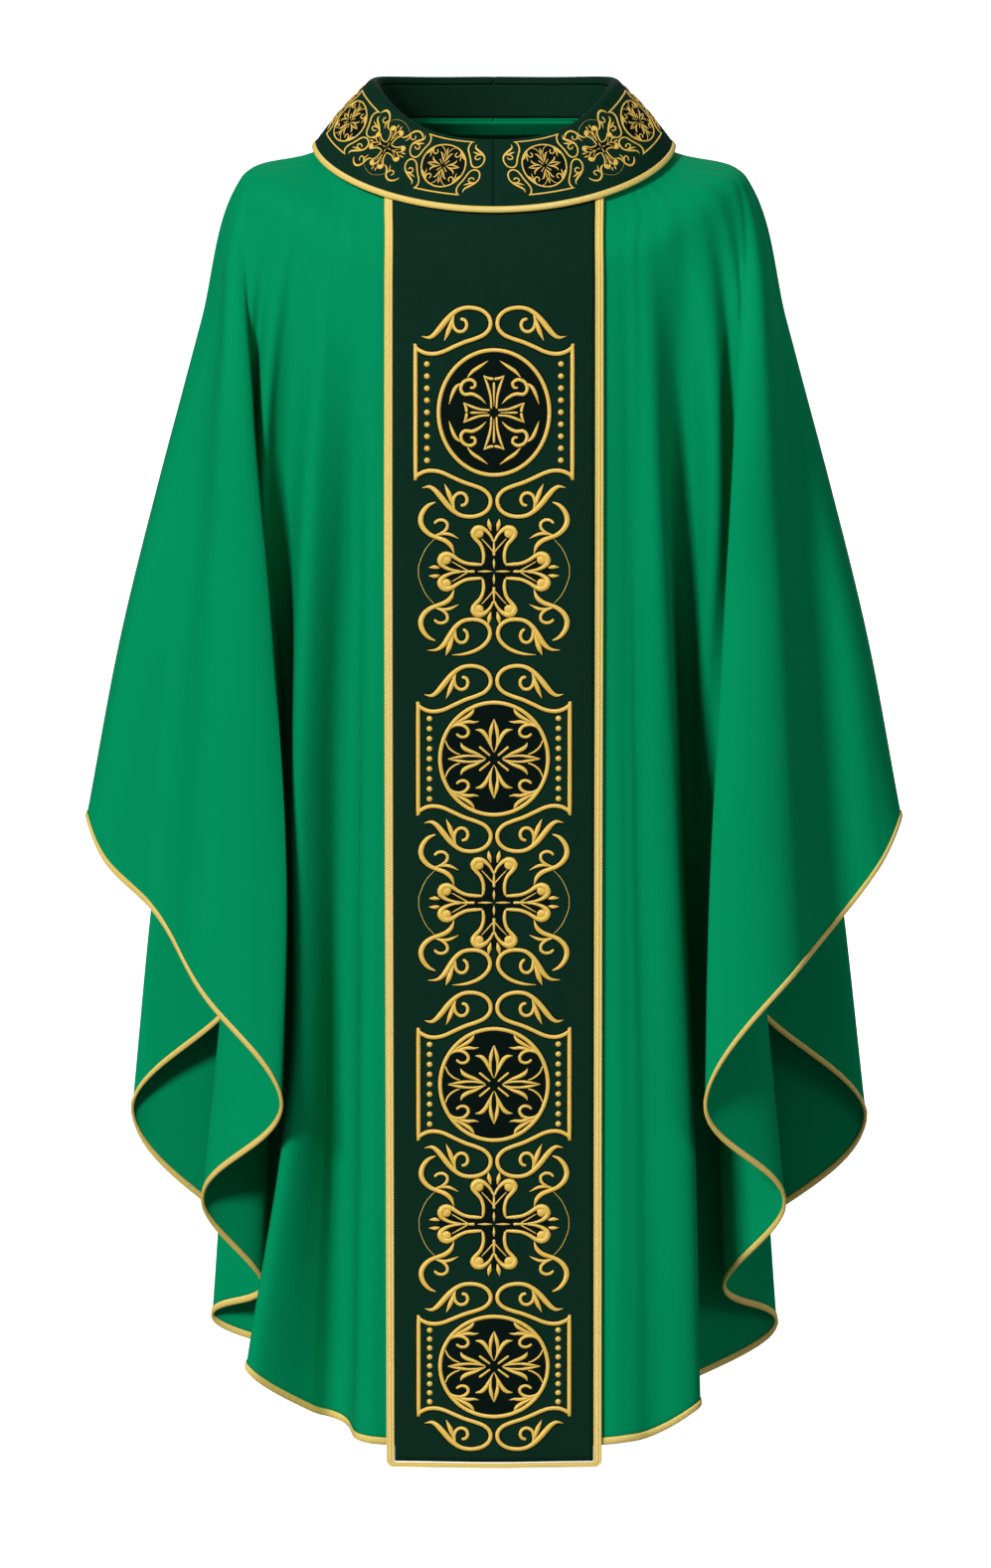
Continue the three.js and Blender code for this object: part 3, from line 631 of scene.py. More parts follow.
def band_place(face, x, z, depth):
    """Places at x across the band and z high, a depth outside the body cloth's inner face (all mm)."""
    places = np.empty((len(x), 3))
    depths = np.broadcast_to(depth, x.shape)
    for side, chosen in (("right", x < 0), ("left", x >= 0)):
        if not chosen.any():
            continue
        wanted, table = np.abs(x[chosen]), TABLES_OF_BAND[face, side]
        levels = np.array([np.interp(-z[chosen], -row[:, 2], TABLE_LEVELS) for row in table])
        widths = np.array([np.interp(level, TABLE_LEVELS, np.abs(row[:, 0]))
                           for level, row in zip(levels, table)])
        i = np.clip((widths < wanted).sum(axis=0) - 1, 0, 2 * COLUMNS - 1)
        picked = np.arange(len(i))
        low, high = widths[i, picked], widths[i + 1, picked]
        share = (i + (wanted - low) / np.maximum(high - low, 1e-6)) / COLUMNS
        t = between_columns(levels, share)
        places[chosen] = HALVES[side].place(band_line(face, share), t, depths[chosen])
    return places


print("centre of the band, 0.6 m down", band_place("front", np.zeros(1), np.full(1, -600.0), 4.0).round(3))

# %% [markdown]
# The band itself is a strip of dark cloth over a pale interlining that keeps it flat. Both are grids laid
# at their own depth in front of the body cloth. The band ends a little below the hem, as it does on the
# real garment, and its interlining stops short so that it never shows.

# %% Bands and interlinings
BAND_TOP, BAND_END = -60.0, -1335.2
BAND_WIDTH = 2 * 99.6
LAYERS = {"band": (4.1, 0.001, BAND_TOP, BAND_END, BAND_WIDTH / 2),
          "band_interlining": (2.8, 0.0006, -158.0, -1303.0, 97.0)}


def band_sheet(face, layer, material, slot):
    depth, thickness, top, end, half_width = LAYERS[layer]

    def lay(x, y):
        return band_place(face, (2 * x - 1) * half_width, top + (end - top) * y, depth)

    def measure(x, y):
        return (2 * x - 1) * half_width / 1000, (end - top) * y / 1000

    made = cloth(f"{face}_{layer}_cloth", 40, 200, lay, measure, material, thickness, flip=face == "front")
    return finish_piece(made, slot, f"{face}_{layer}")


for face in ("front", "back"):
    band_sheet(face, "band", velvet, "band_cloth")
    band_sheet(face, "band_interlining", canvas, "lining")

# %% [markdown]
# Satin stitch covers a drawn line with threads laid side by side over a padding, so each line stands up as
# a low rounded ridge that swells and tapers. A stroke here is a list of points with a width at each. A grid
# is rolled up along it into a closed ridge, and its UV follows the line, for the threads across it.

# %% Strokes of satin stitch
DOME = [(math.cos(a), max(math.sin(a), -0.25)) for a in np.linspace(0, 2 * math.pi, 9)]
RAISED = 0.26
PADDING = 0.35


def along_path(points, step, closed):
    """A smooth path through points, sampled about every step, with its widths."""
    rows = np.array(points, float)
    if closed:
        rows = np.vstack([rows[-1:], rows, rows[:2]])
    else:
        rows = np.vstack([2 * rows[0] - rows[1], rows, 2 * rows[-1] - rows[-2]])
    fine = []
    for a, b, c, d in zip(rows[:-3], rows[1:-2], rows[2:-1], rows[3:]):
        u = np.linspace(0, 1, 12, endpoint=False)[:, None]
        fine.append(b + 0.5 * u * (c - a) + u * u * (a - 2.5 * b + 2 * c - 0.5 * d)
                    + 0.5 * u ** 3 * (3 * b - a - 3 * c + d))
    fine = np.vstack([*fine, rows[-2:-1]])
    run = np.concatenate([[0], np.cumsum(np.linalg.norm(np.diff(fine[:, :2], axis=0), axis=1))])
    count = max(int(run[-1] / step), 5)
    cap = 0 if closed else min(0.5 * max(rows[1, 2], 0.6), run[-1] / 3)
    tail = 0 if closed else min(0.5 * max(rows[-2, 2], 0.6), run[-1] / 3)
    middle = np.linspace(cap, run[-1] - tail, count)
    turns = np.array([0, 0.35, 0.8]) * math.pi / 2
    spots = middle if closed else np.concatenate(
        [cap * (1 - np.cos(turns)), middle, run[-1] - tail * (1 - np.cos(turns[::-1]))])
    path = np.stack([np.interp(spots, run, fine[:, k]) for k in range(3)], 1)
    if not closed:
        ends = np.clip(np.minimum(spots / max(cap, 1e-6), (run[-1] - spots) / max(tail, 1e-6)), 0, 1)
        path[:, 2] = np.maximum(path[:, 2], 0.25) * np.sqrt(np.clip(1 - (1 - ends) ** 2, 0, 1))
    return path, spots


def roll(points, closed=False, step=2.6, profile=DOME, height=PADDING, extra=0.0, padded=True):
    """A ridge along a stroke: local places (x, y, height) in mm and UV in metres, as grids."""
    path, spots = along_path(points, step, closed)
    way = np.gradient(path[:, :2], axis=0)
    if closed:
        way[0] = way[-1] = path[1, :2] - path[-2, :2]
    way /= np.maximum(np.linalg.norm(way, axis=1, keepdims=True), 1e-9)
    side = np.stack([-way[:, 1], way[:, 0]], 1)
    width = (path[:, 2] + extra * (path[:, 2] > 0)) / 2
    top = height * np.minimum(width, 1)
    if padded:
        top = top + RAISED * 2 * width
    outline = np.array(profile)
    across = width[:, None] * outline[:, 0]
    up = top[:, None] * outline[:, 1]
    places = path[:, None, :2] + across[:, :, None] * side[:, None]
    u = np.broadcast_to(spots[:, None] / 1000, across.shape)
    return np.dstack([places, up]), np.dstack([u, across / 1000])


def mirror(strokes, x=1, y=1):
    return [[(x * px, y * py, w) for px, py, w in stroke] for stroke in strokes]


def quarters(strokes):
    return [s for x in (1, -1) for y in (1, -1) for s in mirror(strokes, x, y)]


def sew(name, ridges, place, material):
    """Makes one piece of all the ridges, which are cut from one long grid; place takes x, y and height."""
    groups = {}
    for grid, uv in ridges:
        groups.setdefault(grid.shape[1], []).append(np.dstack([grid, uv]))
    bm = bmesh.new()
    bm.loops.layers.uv.verify()
    for columns, group in groups.items():
        rows = sum(len(grid) for grid in group)
        bmesh.ops.create_grid(bm, x_segments=columns - 1, y_segments=rows - 1, size=0.5)
    mesh = bpy.data.meshes.new(name)
    bm.to_mesh(mesh)
    bm.free()
    made_at = np.empty(len(mesh.vertices) * 3)
    mesh.vertices.foreach_get("co", made_at)
    made_at = made_at.reshape(-1, 3) + 0.5
    local, row_of = np.empty((len(made_at), 5)), np.empty(len(made_at), int)
    start, first_row, last_rows = 0, 0, []
    for columns, group in groups.items():
        stack = np.concatenate(group)
        here = slice(start, start + len(stack) * columns)
        row = np.rint(made_at[here, 1] * (len(stack) - 1)).astype(int)
        local[here] = stack[row, np.rint(made_at[here, 0] * (columns - 1)).astype(int)]
        row_of[here] = row + first_row
        last_rows.append(first_row + np.cumsum([len(grid) for grid in group]) - 1)
        start, first_row = here.stop, first_row + len(stack)
    mesh.vertices.foreach_set("co", place(*local[:, :3].T).ravel())
    corners = np.empty(len(mesh.loops), int)
    mesh.loops.foreach_get("vertex_index", corners)
    mesh.uv_layers.active.data.foreach_set("uv", local[corners, 3:].ravel())
    between = np.isin(row_of[corners.reshape(-1, 4)].min(axis=1), np.concatenate(last_rows))
    bm = bmesh.new()
    bm.from_mesh(mesh)
    bpy.data.meshes.remove(mesh)
    bm.faces.ensure_lookup_table()
    bmesh.ops.delete(bm, geom=[bm.faces[i] for i in np.flatnonzero(between)], context="FACES")
    bmesh.ops.remove_doubles(bm, verts=bm.verts, dist=2e-6)
    bmesh.ops.recalc_face_normals(bm, faces=bm.faces)
    return add_object(name, bm, material)


def turned(half_x, half_y, height, rim, turns):
    """A closed round piece: its rim of (share of the radius, share of the height) is turned full circle."""
    rim, angles = np.array(rim), np.linspace(0, 2 * math.pi, turns + 1)
    x, y = half_x * np.outer(np.cos(angles), rim[:, 0]), half_y * np.outer(np.sin(angles), rim[:, 0])
    return np.dstack([x, y, np.broadcast_to(rim[:, 1] * height, x.shape)]), np.dstack([x, y]) / 1000


def moved(ridges, x, y):
    return [(grid + np.array([x, y, 0.0]), uv) for grid, uv in ridges]


print("stroke tools ready")

# %% [markdown]
# The first kind of motif is a medallion: a ring in a frame with hollowed sides, a column of knots down each
# side, and a flower of four palmettes with curls in the corners. Its frame runs on into an S-shaped scroll
# above and below. Only one quarter is drawn, in millimetres from the centre, and mirrored.

# %% Medallion strokes
FRAME_SCROLL = [
    [(78.7, 59.2, 0.4), (77.2, 56.4, 3.4), (74.2, 53.3, 4.3), (67.4, 49.9, 4.6), (59.3, 49.2, 4.6),
     (50.6, 51.2, 4.5), (39.9, 56.3, 4.5), (29.2, 61.2, 4.5), (18.5, 64.9, 4.5), (9.8, 69.0, 4.5),
     (4.4, 75.2, 4.5), (3.4, 82.0, 4.5), (6.0, 88.6, 4.5), (12.5, 93.8, 4.5), (22.0, 96.1, 4.5),
     (31.9, 95.0, 4.6), (39.9, 90.2, 5.2), (46.6, 83.2, 6.0), (53.3, 74.5, 6.2), (58.7, 68.3, 5.2),
     (64.0, 65.4, 3.6), (71.0, 66.9, 0.4)],
    [(39.9, 87.0, 1.0), (42.4, 78.5, 4.4), (45.0, 71.0, 4.9), (48.8, 62.2, 0.4)],
    [(38.5, 90.5, 1.4), (40.4, 82.5, 3.4), (39.0, 75.6, 3.7), (34.8, 72.0, 3.8), (29.8, 72.6, 3.8),
     (26.8, 76.8, 3.8), (27.2, 81.8, 3.8), (30.2, 84.6, 3.6), (33.0, 84.0, 3.4)],
]
PALMETTES = [
    [(0.3, 6.5, 0.6), (2.9, 13.0, 2.3), (3.7, 22.0, 2.8), (2.9, 30.5, 4.2), (0.0, 41.9, 0.3)],
    [(0.8, 7.5, 0.6), (5.2, 17.6, 3.2), (8.7, 24.8, 4.5), (13.2, 29.2, 4.3), (19.4, 30.2, 0.4)],
    [(8.0, 0.3, 0.6), (17.0, 2.6, 2.2), (27.0, 3.1, 2.6), (35.0, 2.2, 3.2), (48.0, 0.0, 0.3)],
    [(8.6, 0.8, 0.6), (18.6, 5.8, 3.2), (26.6, 8.8, 4.5), (32.0, 12.4, 4.0), (34.0, 17.0, 0.4)],
    [(3.8, 3.0, 2.2), (9.4, 7.8, 2.6), (15.1, 12.6, 2.8)],
]
CURLS = [
    [(34.6, 4.6, 1.2), (40.0, 6.6, 2.1), (46.2, 11.8, 2.2), (49.6, 19.4, 1.4)],
    [(49.4, 20.5, 1.4), (48.0, 27.3, 2.7), (43.3, 33.3, 3.3), (36.0, 35.4, 3.5), (29.4, 33.4, 3.6),
     (26.0, 28.8, 3.6), (27.2, 24.3, 3.5), (31.5, 22.4, 3.3), (35.8, 23.6, 3.1), (38.2, 26.2, 2.9)],
    [(43.0, 33.0, 1.0), (34.0, 36.8, 2.8), (26.0, 38.4, 3.8), (20.5, 37.8, 2.8), (14.8, 39.0, 0.3)],
    [(42.0, 35.5, 1.0), (33.0, 40.4, 3.2), (26.4, 44.2, 4.3), (22.2, 48.0, 3.6), (20.0, 52.2, 0.4)],
]
FRAME_BAR = [(76.8, 59.8, 0.4), (76.8, 54.0, 4.3), (76.8, 0.0, 4.6), (76.8, -54.0, 4.3), (76.8, -59.8, 0.4)]
RING = (54.8, 58.2)
KNOT_COLUMN, KNOT_STEP, KNOT_RADIUS = 65.4, 10.42, 3.1


def ellipse(half_x, half_y, width, steps=28):
    turns = [2 * math.pi * k / steps for k in range(steps)]
    return [(half_x * math.cos(a), half_y * math.sin(a), width) for a in turns]


def stretched(strokes, x, y, lift=0.0):
    """Scales strokes of one quarter, and lifts them off the middle by lift."""
    return [[(px * x, py * y + math.copysign(lift, py), w) for px, py, w in s] for s in strokes]


print(len(quarters(FRAME_SCROLL + PALMETTES + CURLS)), "strokes of a medallion come from its quarter")

# %% [markdown]
# The second kind is a cross with flared, lobed arms, drawn as an outline with veins inside and two small
# flames at each end. C-shaped scrolls hold it above and below, and a hair-fine arc closes each side.

# %% Cross strokes
CROSS_ARMS = [
    [(11.6, 7.4, 2.6), (10.6, 14.0, 3.7), (11.2, 21.0, 3.9), (13.9, 27.8, 4.1), (18.6, 33.2, 4.7),
     (21.4, 38.6, 6.2), (18.9, 43.3, 7.0), (13.9, 44.5, 6.4), (9.3, 42.7, 4.7), (5.6, 39.4, 3.5),
     (2.6, 35.2, 2.9), (0.7, 30.5, 2.2)],
    [(12.6, 33.6, 1.0), (6.5, 27.0, 1.6), (0.8, 20.2, 1.6)],
    [(3.2, 41.4, 0.8), (4.3, 46.2, 4.4), (5.0, 49.2, 4.8), (5.6, 54.4, 0.3)],
    [(11.6, 7.0, 2.6), (19.0, 7.3, 3.9), (28.0, 8.4, 3.9), (35.8, 11.8, 4.1), (42.4, 16.2, 4.9),
     (48.4, 17.8, 6.4), (53.4, 15.0, 7.0), (54.6, 9.6, 6.2), (51.4, 5.5, 4.7), (46.0, 2.7, 3.5),
     (40.0, 1.1, 2.7), (33.5, 0.5, 1.8)],
    [(42.8, 10.2, 1.0), (35.0, 5.6, 1.6), (27.0, 1.0, 1.6)],
    [(55.0, 3.6, 0.8), (58.6, 4.5, 4.3), (61.2, 4.7, 4.2), (66.4, 4.2, 0.3)],
]
CROSS_LINES = [
    [(0.0, 33.0, 1.6), (0.0, 26.0, 2.4), (0.0, 19.0, 3.3), (0.0, 15.8, 3.0)],
    [(0.0, 13.4, 0.4), (0.0, 8.4, 3.0), (0.0, 2.6, 0.4)],
]
CROSS_BARS = [
    [(39.0, 0.0, 1.6), (28.0, 0.0, 2.4), (22.0, 0.0, 3.2), (19.4, 0.0, 2.8)],
    [(17.2, 0.0, 0.4), (9.0, 0.0, 2.6), (1.2, 0.0, 0.4)],
]
LOBES = [(15.4, 39.0), (48.4, 12.2)]
HOLDING_SCROLL = [
    [(59.2, 71.0, 1.4), (66.4, 67.6, 4.2), (72.3, 60.2, 5.5), (74.1, 51.6, 5.9), (71.3, 44.1, 5.7),
     (65.2, 38.2, 5.1), (57.9, 34.9, 4.7), (49.4, 31.6, 5.3), (43.4, 26.0, 4.6), (40.4, 17.6, 0.4)],
    [(58.5, 37.2, 1.0), (50.0, 38.8, 3.1), (44.0, 37.8, 3.5), (35.2, 33.4, 0.3)],
    [(60.0, 37.2, 1.2), (52.6, 39.8, 3.2), (47.8, 44.4, 3.6), (47.9, 50.2, 3.6), (53.1, 53.0, 3.6),
     (58.4, 51.6, 3.4), (60.4, 48.8, 3.2)],
]
HAIR_ARC = [(58.6, 35.2, 0.5), (69.0, 23.4, 0.7), (75.5, 8.0, 0.7), (76.3, 0.0, 0.7), (75.5, -8.0, 0.7),
            (69.0, -23.4, 0.7), (58.6, -35.2, 0.5)]
TAIL_SCROLL = [
    [(44.0, -85.9, 0.4), (29.0, -84.6, 3.4), (15.5, -79.6, 4.3), (6.8, -71.8, 4.5), (4.0, -63.6, 4.5),
     (6.4, -55.9, 4.5), (13.0, -50.9, 4.5), (21.6, -49.3, 4.5), (31.3, -50.7, 4.6), (38.5, -56.0, 5.1),
     (44.6, -64.7, 5.9), (50.7, -74.6, 5.7), (57.9, -80.2, 3.5), (68.0, -80.9, 0.4)],
    [(38.4, -55.0, 1.2), (39.8, -62.2, 3.4), (38.3, -69.7, 3.7), (33.7, -73.3, 3.8), (28.8, -71.4, 3.8),
     (26.9, -66.0, 3.8), (28.8, -61.0, 3.6), (31.8, -59.4, 3.3)],
    [(41.0, -63.6, 1.0), (43.2, -71.0, 4.2), (46.0, -79.0, 5.5), (49.2, -86.6, 0.3)],
]
print(len(quarters(CROSS_ARMS + HOLDING_SCROLL)), "strokes of a cross come from its quarter")

# %% [markdown]
# The gold would sink into the green-black cloth without an edge, so a dark rim, a little wider than the
# gold, is laid under each line: painted shadow along its foot. Rings get a dark disc and crosses a dark
# filling. All of that is one flat piece on each band, with the raised gold motifs as pieces of their own on
# top of it.

# %% Motifs on the bands
FLAT = [(1, 0), (0.7, 1), (-0.7, 1), (-1, 0), (-0.7, -1), (0.7, -1), (1, 0)]
WIDE = [(1, 0), (0.95, 1), (0.5, 1), (0, 1), (-0.5, 1), (-0.95, 1), (-1, 0), (-0.95, -1), (0, -1),
        (0.95, -1), (1, 0)]
# The extra width and height here make the dark rim under each gold line, a painted shadow along its foot;
# the filling height is for the dark ground of the crosses.
SHADOW_RIM, SHADOW_RIM_HEIGHT, FILLING_HEIGHT = 2.0, 0.22, 0.16
ORNAMENT = [
    [(2.6, 4.0, 2.2), (3.4, 16.0, 2.6), (6.4, 28.0, 3.0), (10.5, 38.0, 0.8)],
    [(10.4, 37.6, 1.0), (5.4, 35.0, 3.0), (0.2, 34.2, 3.2)],
    [(4.0, 2.6, 2.2), (14.0, 3.4, 2.6), (23.0, 6.4, 3.0), (31.0, 10.2, 0.8)],
    [(30.8, 10.0, 1.0), (28.4, 5.2, 3.0), (27.6, 0.2, 3.2)],
    [(8.0, 9.0, 0.6), (14.0, 15.0, 3.2), (22.0, 19.0, 3.9), (30.0, 18.6, 3.8), (33.6, 24.0, 3.7),
     (31.0, 31.0, 3.8), (24.0, 33.6, 3.8), (18.8, 30.0, 3.5), (20.4, 25.4, 3.2), (24.4, 25.4, 2.8)],
    [(33.0, 30.0, 1.0), (38.4, 26.0, 3.8), (42.4, 18.0, 3.6), (45.6, 8.0, 0.4)],
    [(27.0, 35.6, 1.0), (21.4, 42.0, 3.8), (14.0, 47.0, 3.6), (5.5, 53.0, 0.4)],
]
ORNAMENT_VEINS = [[(0.0, 6.0, 0.6), (0.0, 18.0, 2.0), (0.0, 29.0, 2.8), (0.0, 31.0, 1.2)]]
ORNAMENT_CROSSBAR = [[(6.0, 0.0, 0.6), (16.0, 0.0, 2.0), (22.0, 0.0, 2.8), (24.4, 0.0, 1.2)]]
ARM_FILLING = [
    [(0.0, 2.0, 16.0), (0.0, 14.0, 21.0), (0.0, 24.0, 25.0), (0.0, 33.0, 35.0), (0.0, 38.6, 41.0),
     (0.0, 43.0, 33.0), (0.0, 46.0, 12.0)],
    [(2.0, 0.0, 15.0), (19.0, 0.0, 16.0), (30.0, 0.0, 19.0), (40.0, 0.0, 29.0), (48.0, 0.0, 36.0),
     (53.6, 0.0, 27.0), (56.6, 0.0, 10.0)],
]


KNOT = [(0, 1), (0.55, 0.86), (0.88, 0.5), (1, 0), (0.8, -0.3), (0, -0.3)]
DISC = [(0, 1), (0.25, 1), (0.5, 1), (0.75, 1), (0.97, 1), (1, 0), (0.97, -1), (0.5, -1), (0, -1)]


def knots(spots, radius, rise):
    return [ridge for x, y in spots for ridge in moved([turned(radius, radius, rise, KNOT, 9)], x, y)]


def knot_column(x, step, count=9):
    return [(sign * x, (k - (count - 1) / 2) * step) for sign in (1, -1) for k in range(count)]


def medallion_design(kind):
    """Open strokes, ring and knots of a medallion; kind is top, plain, low or collar."""
    sizes = {"top": (1.03, 1.165, 10), "low": (1, 0.9, 0), "collar": (0.9, 1, 0)}
    wide, tall, lift = sizes.get(kind, (1, 1, 0))
    bars = [[(px * wide, py * tall, w) for px, py, w in FRAME_BAR]]
    if kind == "top":
        strokes = quarters(stretched(FRAME_SCROLL, wide, 1.0, lift)) + quarters(ORNAMENT)
        strokes += mirror(ORNAMENT_VEINS) + mirror(ORNAMENT_VEINS, 1, -1)
        strokes += mirror(ORNAMENT_CROSSBAR) + mirror(ORNAMENT_CROSSBAR, -1)
        ring, spots = (56, 63.5), knot_column(67.6, 12.2)
    else:
        strokes = quarters(stretched(FRAME_SCROLL, wide, tall) + stretched(PALMETTES + CURLS, 1, tall))
        ring, spots = (RING[0], RING[1] * tall), knot_column(KNOT_COLUMN, KNOT_STEP * tall)
    if kind == "collar":
        ring, spots = (55, 55), []
    return strokes + bars + mirror(bars, -1), ring, knots(spots, KNOT_RADIUS, 2.0)


def cross_design(tailed):
    strokes = quarters(CROSS_ARMS) + mirror(CROSS_LINES) + mirror(CROSS_LINES, 1, -1)
    strokes += mirror(CROSS_BARS) + mirror(CROSS_BARS, -1) + [HAIR_ARC] + mirror([HAIR_ARC], -1)
    strokes += quarters(HOLDING_SCROLL)
    if tailed:
        strokes += TAIL_SCROLL + mirror(TAIL_SCROLL, -1)
    spots = [(sx * x, sy * y) for x, y in LOBES for sx in (1, -1) for sy in (1, -1)]
    return strokes, None, knots(spots, 5.2, 1.9)


def gold_of(design, step=2.6):
    strokes, ring, rounds = design
    ridges = [roll(stroke, step=step) for stroke in strokes] + rounds
    if ring:
        ridges.append(roll(ellipse(*ring, 4.4), closed=True, step=step))
    return ridges


def shadow_rims_and_fills_of(design, step=5.0):
    strokes, ring, _ = design
    low = dict(step=step, profile=FLAT, height=SHADOW_RIM_HEIGHT, extra=SHADOW_RIM, padded=False)
    # The dark rims under the gold lines and round the ring are painted shadow; the disc and the arm filling
    # are the motif's dark ground.
    shadow_lines = [roll(stroke, **low) for stroke in strokes if max(w for _, _, w in stroke) > 1.2]
    if ring:
        rim = roll(ellipse(*ring, 4.4), closed=True, **low)
        return shadow_lines + [rim, turned(*ring, FILLING_HEIGHT, DISC, 36)]
    arms = ARM_FILLING + mirror(ARM_FILLING[:1], 1, -1) + mirror(ARM_FILLING[1:], -1)
    filling = dict(step=5.0, profile=WIDE, height=FILLING_HEIGHT, padded=False)
    return shadow_lines + [roll(stroke, **filling) for stroke in arms]


DESIGNS = {kind: medallion_design(kind) for kind in ("top", "plain", "low", "collar")}
DESIGNS.update(tailed=cross_design(True), short=cross_design(False))
ON_BAND = {"medallion_1": ("top", -267.0), "cross_1": ("tailed", -426.0), "medallion_2": ("plain", -615.5),
           "cross_2": ("tailed", -762.0), "medallion_3": ("plain", -948.0), "cross_3": ("short", -1091.0),
           "medallion_4": ("low", -1237.0)}
BAND_FACE = 4.6
MOTIF_SIZE = 0.98


def on_band(face, z):
    return lambda x, y, height: band_place(face, x * MOTIF_SIZE, z + y * MOTIF_SIZE, BAND_FACE + height)


MOTIFS = {"front": [], "back": []}
for face in MOTIFS:
    shadow_rims_and_fills = []
    for name, (kind, z) in ON_BAND.items():
        made = sew(f"{face}_{name}_gold", gold_of(DESIGNS[kind]), on_band(face, z), thread)
        MOTIFS[face].append(finish_piece(made, "gold_embroidery", f"{face}_{name}"))
        shadow_rims_and_fills += moved(shadow_rims_and_fills_of(DESIGNS[kind]), 0, z / MOTIF_SIZE)
    made = sew(f"{face}_band_shadow_rims_and_fills", shadow_rims_and_fills, on_band(face, 0.0), dark_fill_and_shadow)
    MOTIFS[face].append(finish_piece(made, "band_cloth"))
    print(face, "motifs", {m.name: len(m.data.polygons) for m in MOTIFS[face]})

# %% [markdown]
# Gold braid closes the long edges and the foot of each band. It is woven with two smooth borders and a
# beaded middle, which the cross-section shows, and one length is turned round both lower corners. The
# same rolled grid as for the stitches makes it, so the ribs of the weave run across it all the way.

# %% Braid round the bands
BRAID_LINE, BRAID_WIDTH = 103.9, 8.2
FOOT_LINE, FOOT_WIDTH = -1338.6, 5.2
CORNER = 3.4
BRAID_SECTION = [(1, 0.1), (0.97, 0.75), (0.8, 1.0), (0.58, 0.86), (0.46, 0.5), (0.3, 0.95), (0, 1.12),
                 (-0.3, 0.95), (-0.46, 0.5), (-0.58, 0.86), (-0.8, 1.0), (-0.97, 0.75), (-1, 0.1),
                 (-0.8, -0.6), (0.8, -0.6), (1, 0.1)]


def braid_path():
    side = [(BRAID_LINE, z, BRAID_WIDTH) for z in np.linspace(BAND_TOP, FOOT_LINE + 16, 40)]
    turn = [(BRAID_LINE - CORNER * (1 - math.cos(a)), FOOT_LINE + CORNER * (1 - math.sin(a)),
             BRAID_WIDTH + (FOOT_WIDTH - BRAID_WIDTH) * a * 2 / math.pi)
            for a in np.linspace(0, math.pi / 2, 5)]
    half = side + turn
    foot = [(x, FOOT_LINE, FOOT_WIDTH) for x in np.linspace(BRAID_LINE - 12, 12 - BRAID_LINE, 9)]
    return half + foot + [(-x, z, w) for x, z, w in reversed(half)]


for face in ("front", "back"):
    line = roll(braid_path(), step=4.0, profile=BRAID_SECTION, height=1.5, padded=False)

    def along_edge(x, z, height):
        return band_place(face, x, z, BAND_FACE + height)

    made = sew(f"{face}_braid_strip", [line], along_edge, braid)
    finish_piece(made, "gold_trim", f"{face}_band_braid")
    print(face, "braid", round(float(line[1][-1, 0, 0]), 2), "m long")

# %% [markdown]
# The collar is cut as a stand, which rises from the neckline, and a fall in two halves, which rolls over the
# top of the stand and lies down on the shoulders. Its cross-section is drawn from neck to roll to edge, with
# the roll rounded by a Bezier curve, and that section is carried round the neck.

# %% Collar cloth
ROLL_LINE = dict(half=118, front=86, back=80, side=45, front_dip=45, back_dip=10)
ROLL_REACH = 13.0
ROLL_PUFF = 4.0
FALL_PUFF = 3.0
STAND_SEAM = -0.22
COLLAR_THICKNESS = 0.0012


def roll_ring(angle):
    sine, cosine = np.sin(angle), np.cos(angle)
    depth = np.where(cosine > 0, ROLL_LINE["front"], ROLL_LINE["back"])
    dip = np.where(cosine > 0, ROLL_LINE["front_dip"], ROLL_LINE["back_dip"])
    height = ROLL_LINE["side"] - dip * (1 - np.abs(sine) ** 3)
    return np.stack([ROLL_LINE["half"] * sine, -depth * cosine, height], -1)


def collar_surface(angle, w):
    """Section place w: -1 at the neck, 0 at the top of the roll, 1 at the edge of the fall."""
    top = roll_ring(angle)
    legs = [ring_point(NECKLINE, angle) - top, ring_point(COLLAR_EDGE, angle) - top]
    sizes = [length_of(leg) for leg in legs]
    rise, down = (top + legs[k] / sizes[k] * ROLL_REACH for k in (0, 1))
    share = np.abs(w)[:, None]
    chosen = (w > 0)[:, None]
    size = np.where(chosen, sizes[1], sizes[0])
    straight = top + np.where(chosen, legs[1], legs[0]) * share
    u = 0.5 + 0.5 * np.clip(w[:, None] * size / ROLL_REACH, -1, 1)
    peak = top + np.array([0, 0, ROLL_PUFF])
    bent = (1 - u) ** 2 * rise + 2 * u * (1 - u) * peak + u * u * down
    return np.where(share * size < ROLL_REACH, bent, straight)


def collar_place(angle, w, depth=0.0):
    """Places in metres on the side that shows; a positive angle is towards the wearer's left."""
    step = 0.004
    round_it = collar_surface(angle + step, w) - collar_surface(angle - step, w)
    down = collar_surface(angle, w + step) - collar_surface(angle, w - step)
    out = np.cross(down, round_it)
    puff = FALL_PUFF * np.sin(math.pi * np.clip(w, 0, 1)) ** 0.8
    return 0.001 * (collar_surface(angle, w) + out / length_of(out) * (puff + depth)[:, None])


def collar_sheet(name, angles, shares, columns, rows, depth, material, thickness):
    def lay(x, y):
        angle, w = (low + (high - low) * v for (low, high), v in ((angles, x), (shares, y)))
        seam = np.exp(-(np.minimum(np.abs(angle), math.pi - np.abs(angle)) / 0.016) ** 2)
        return collar_place(angle, w, depth - 0.3 * seam)

    return cloth(name, columns, rows, lay, lambda x, y: (0.4 * x, 0.09 * y), material, thickness, merge=1e-6)


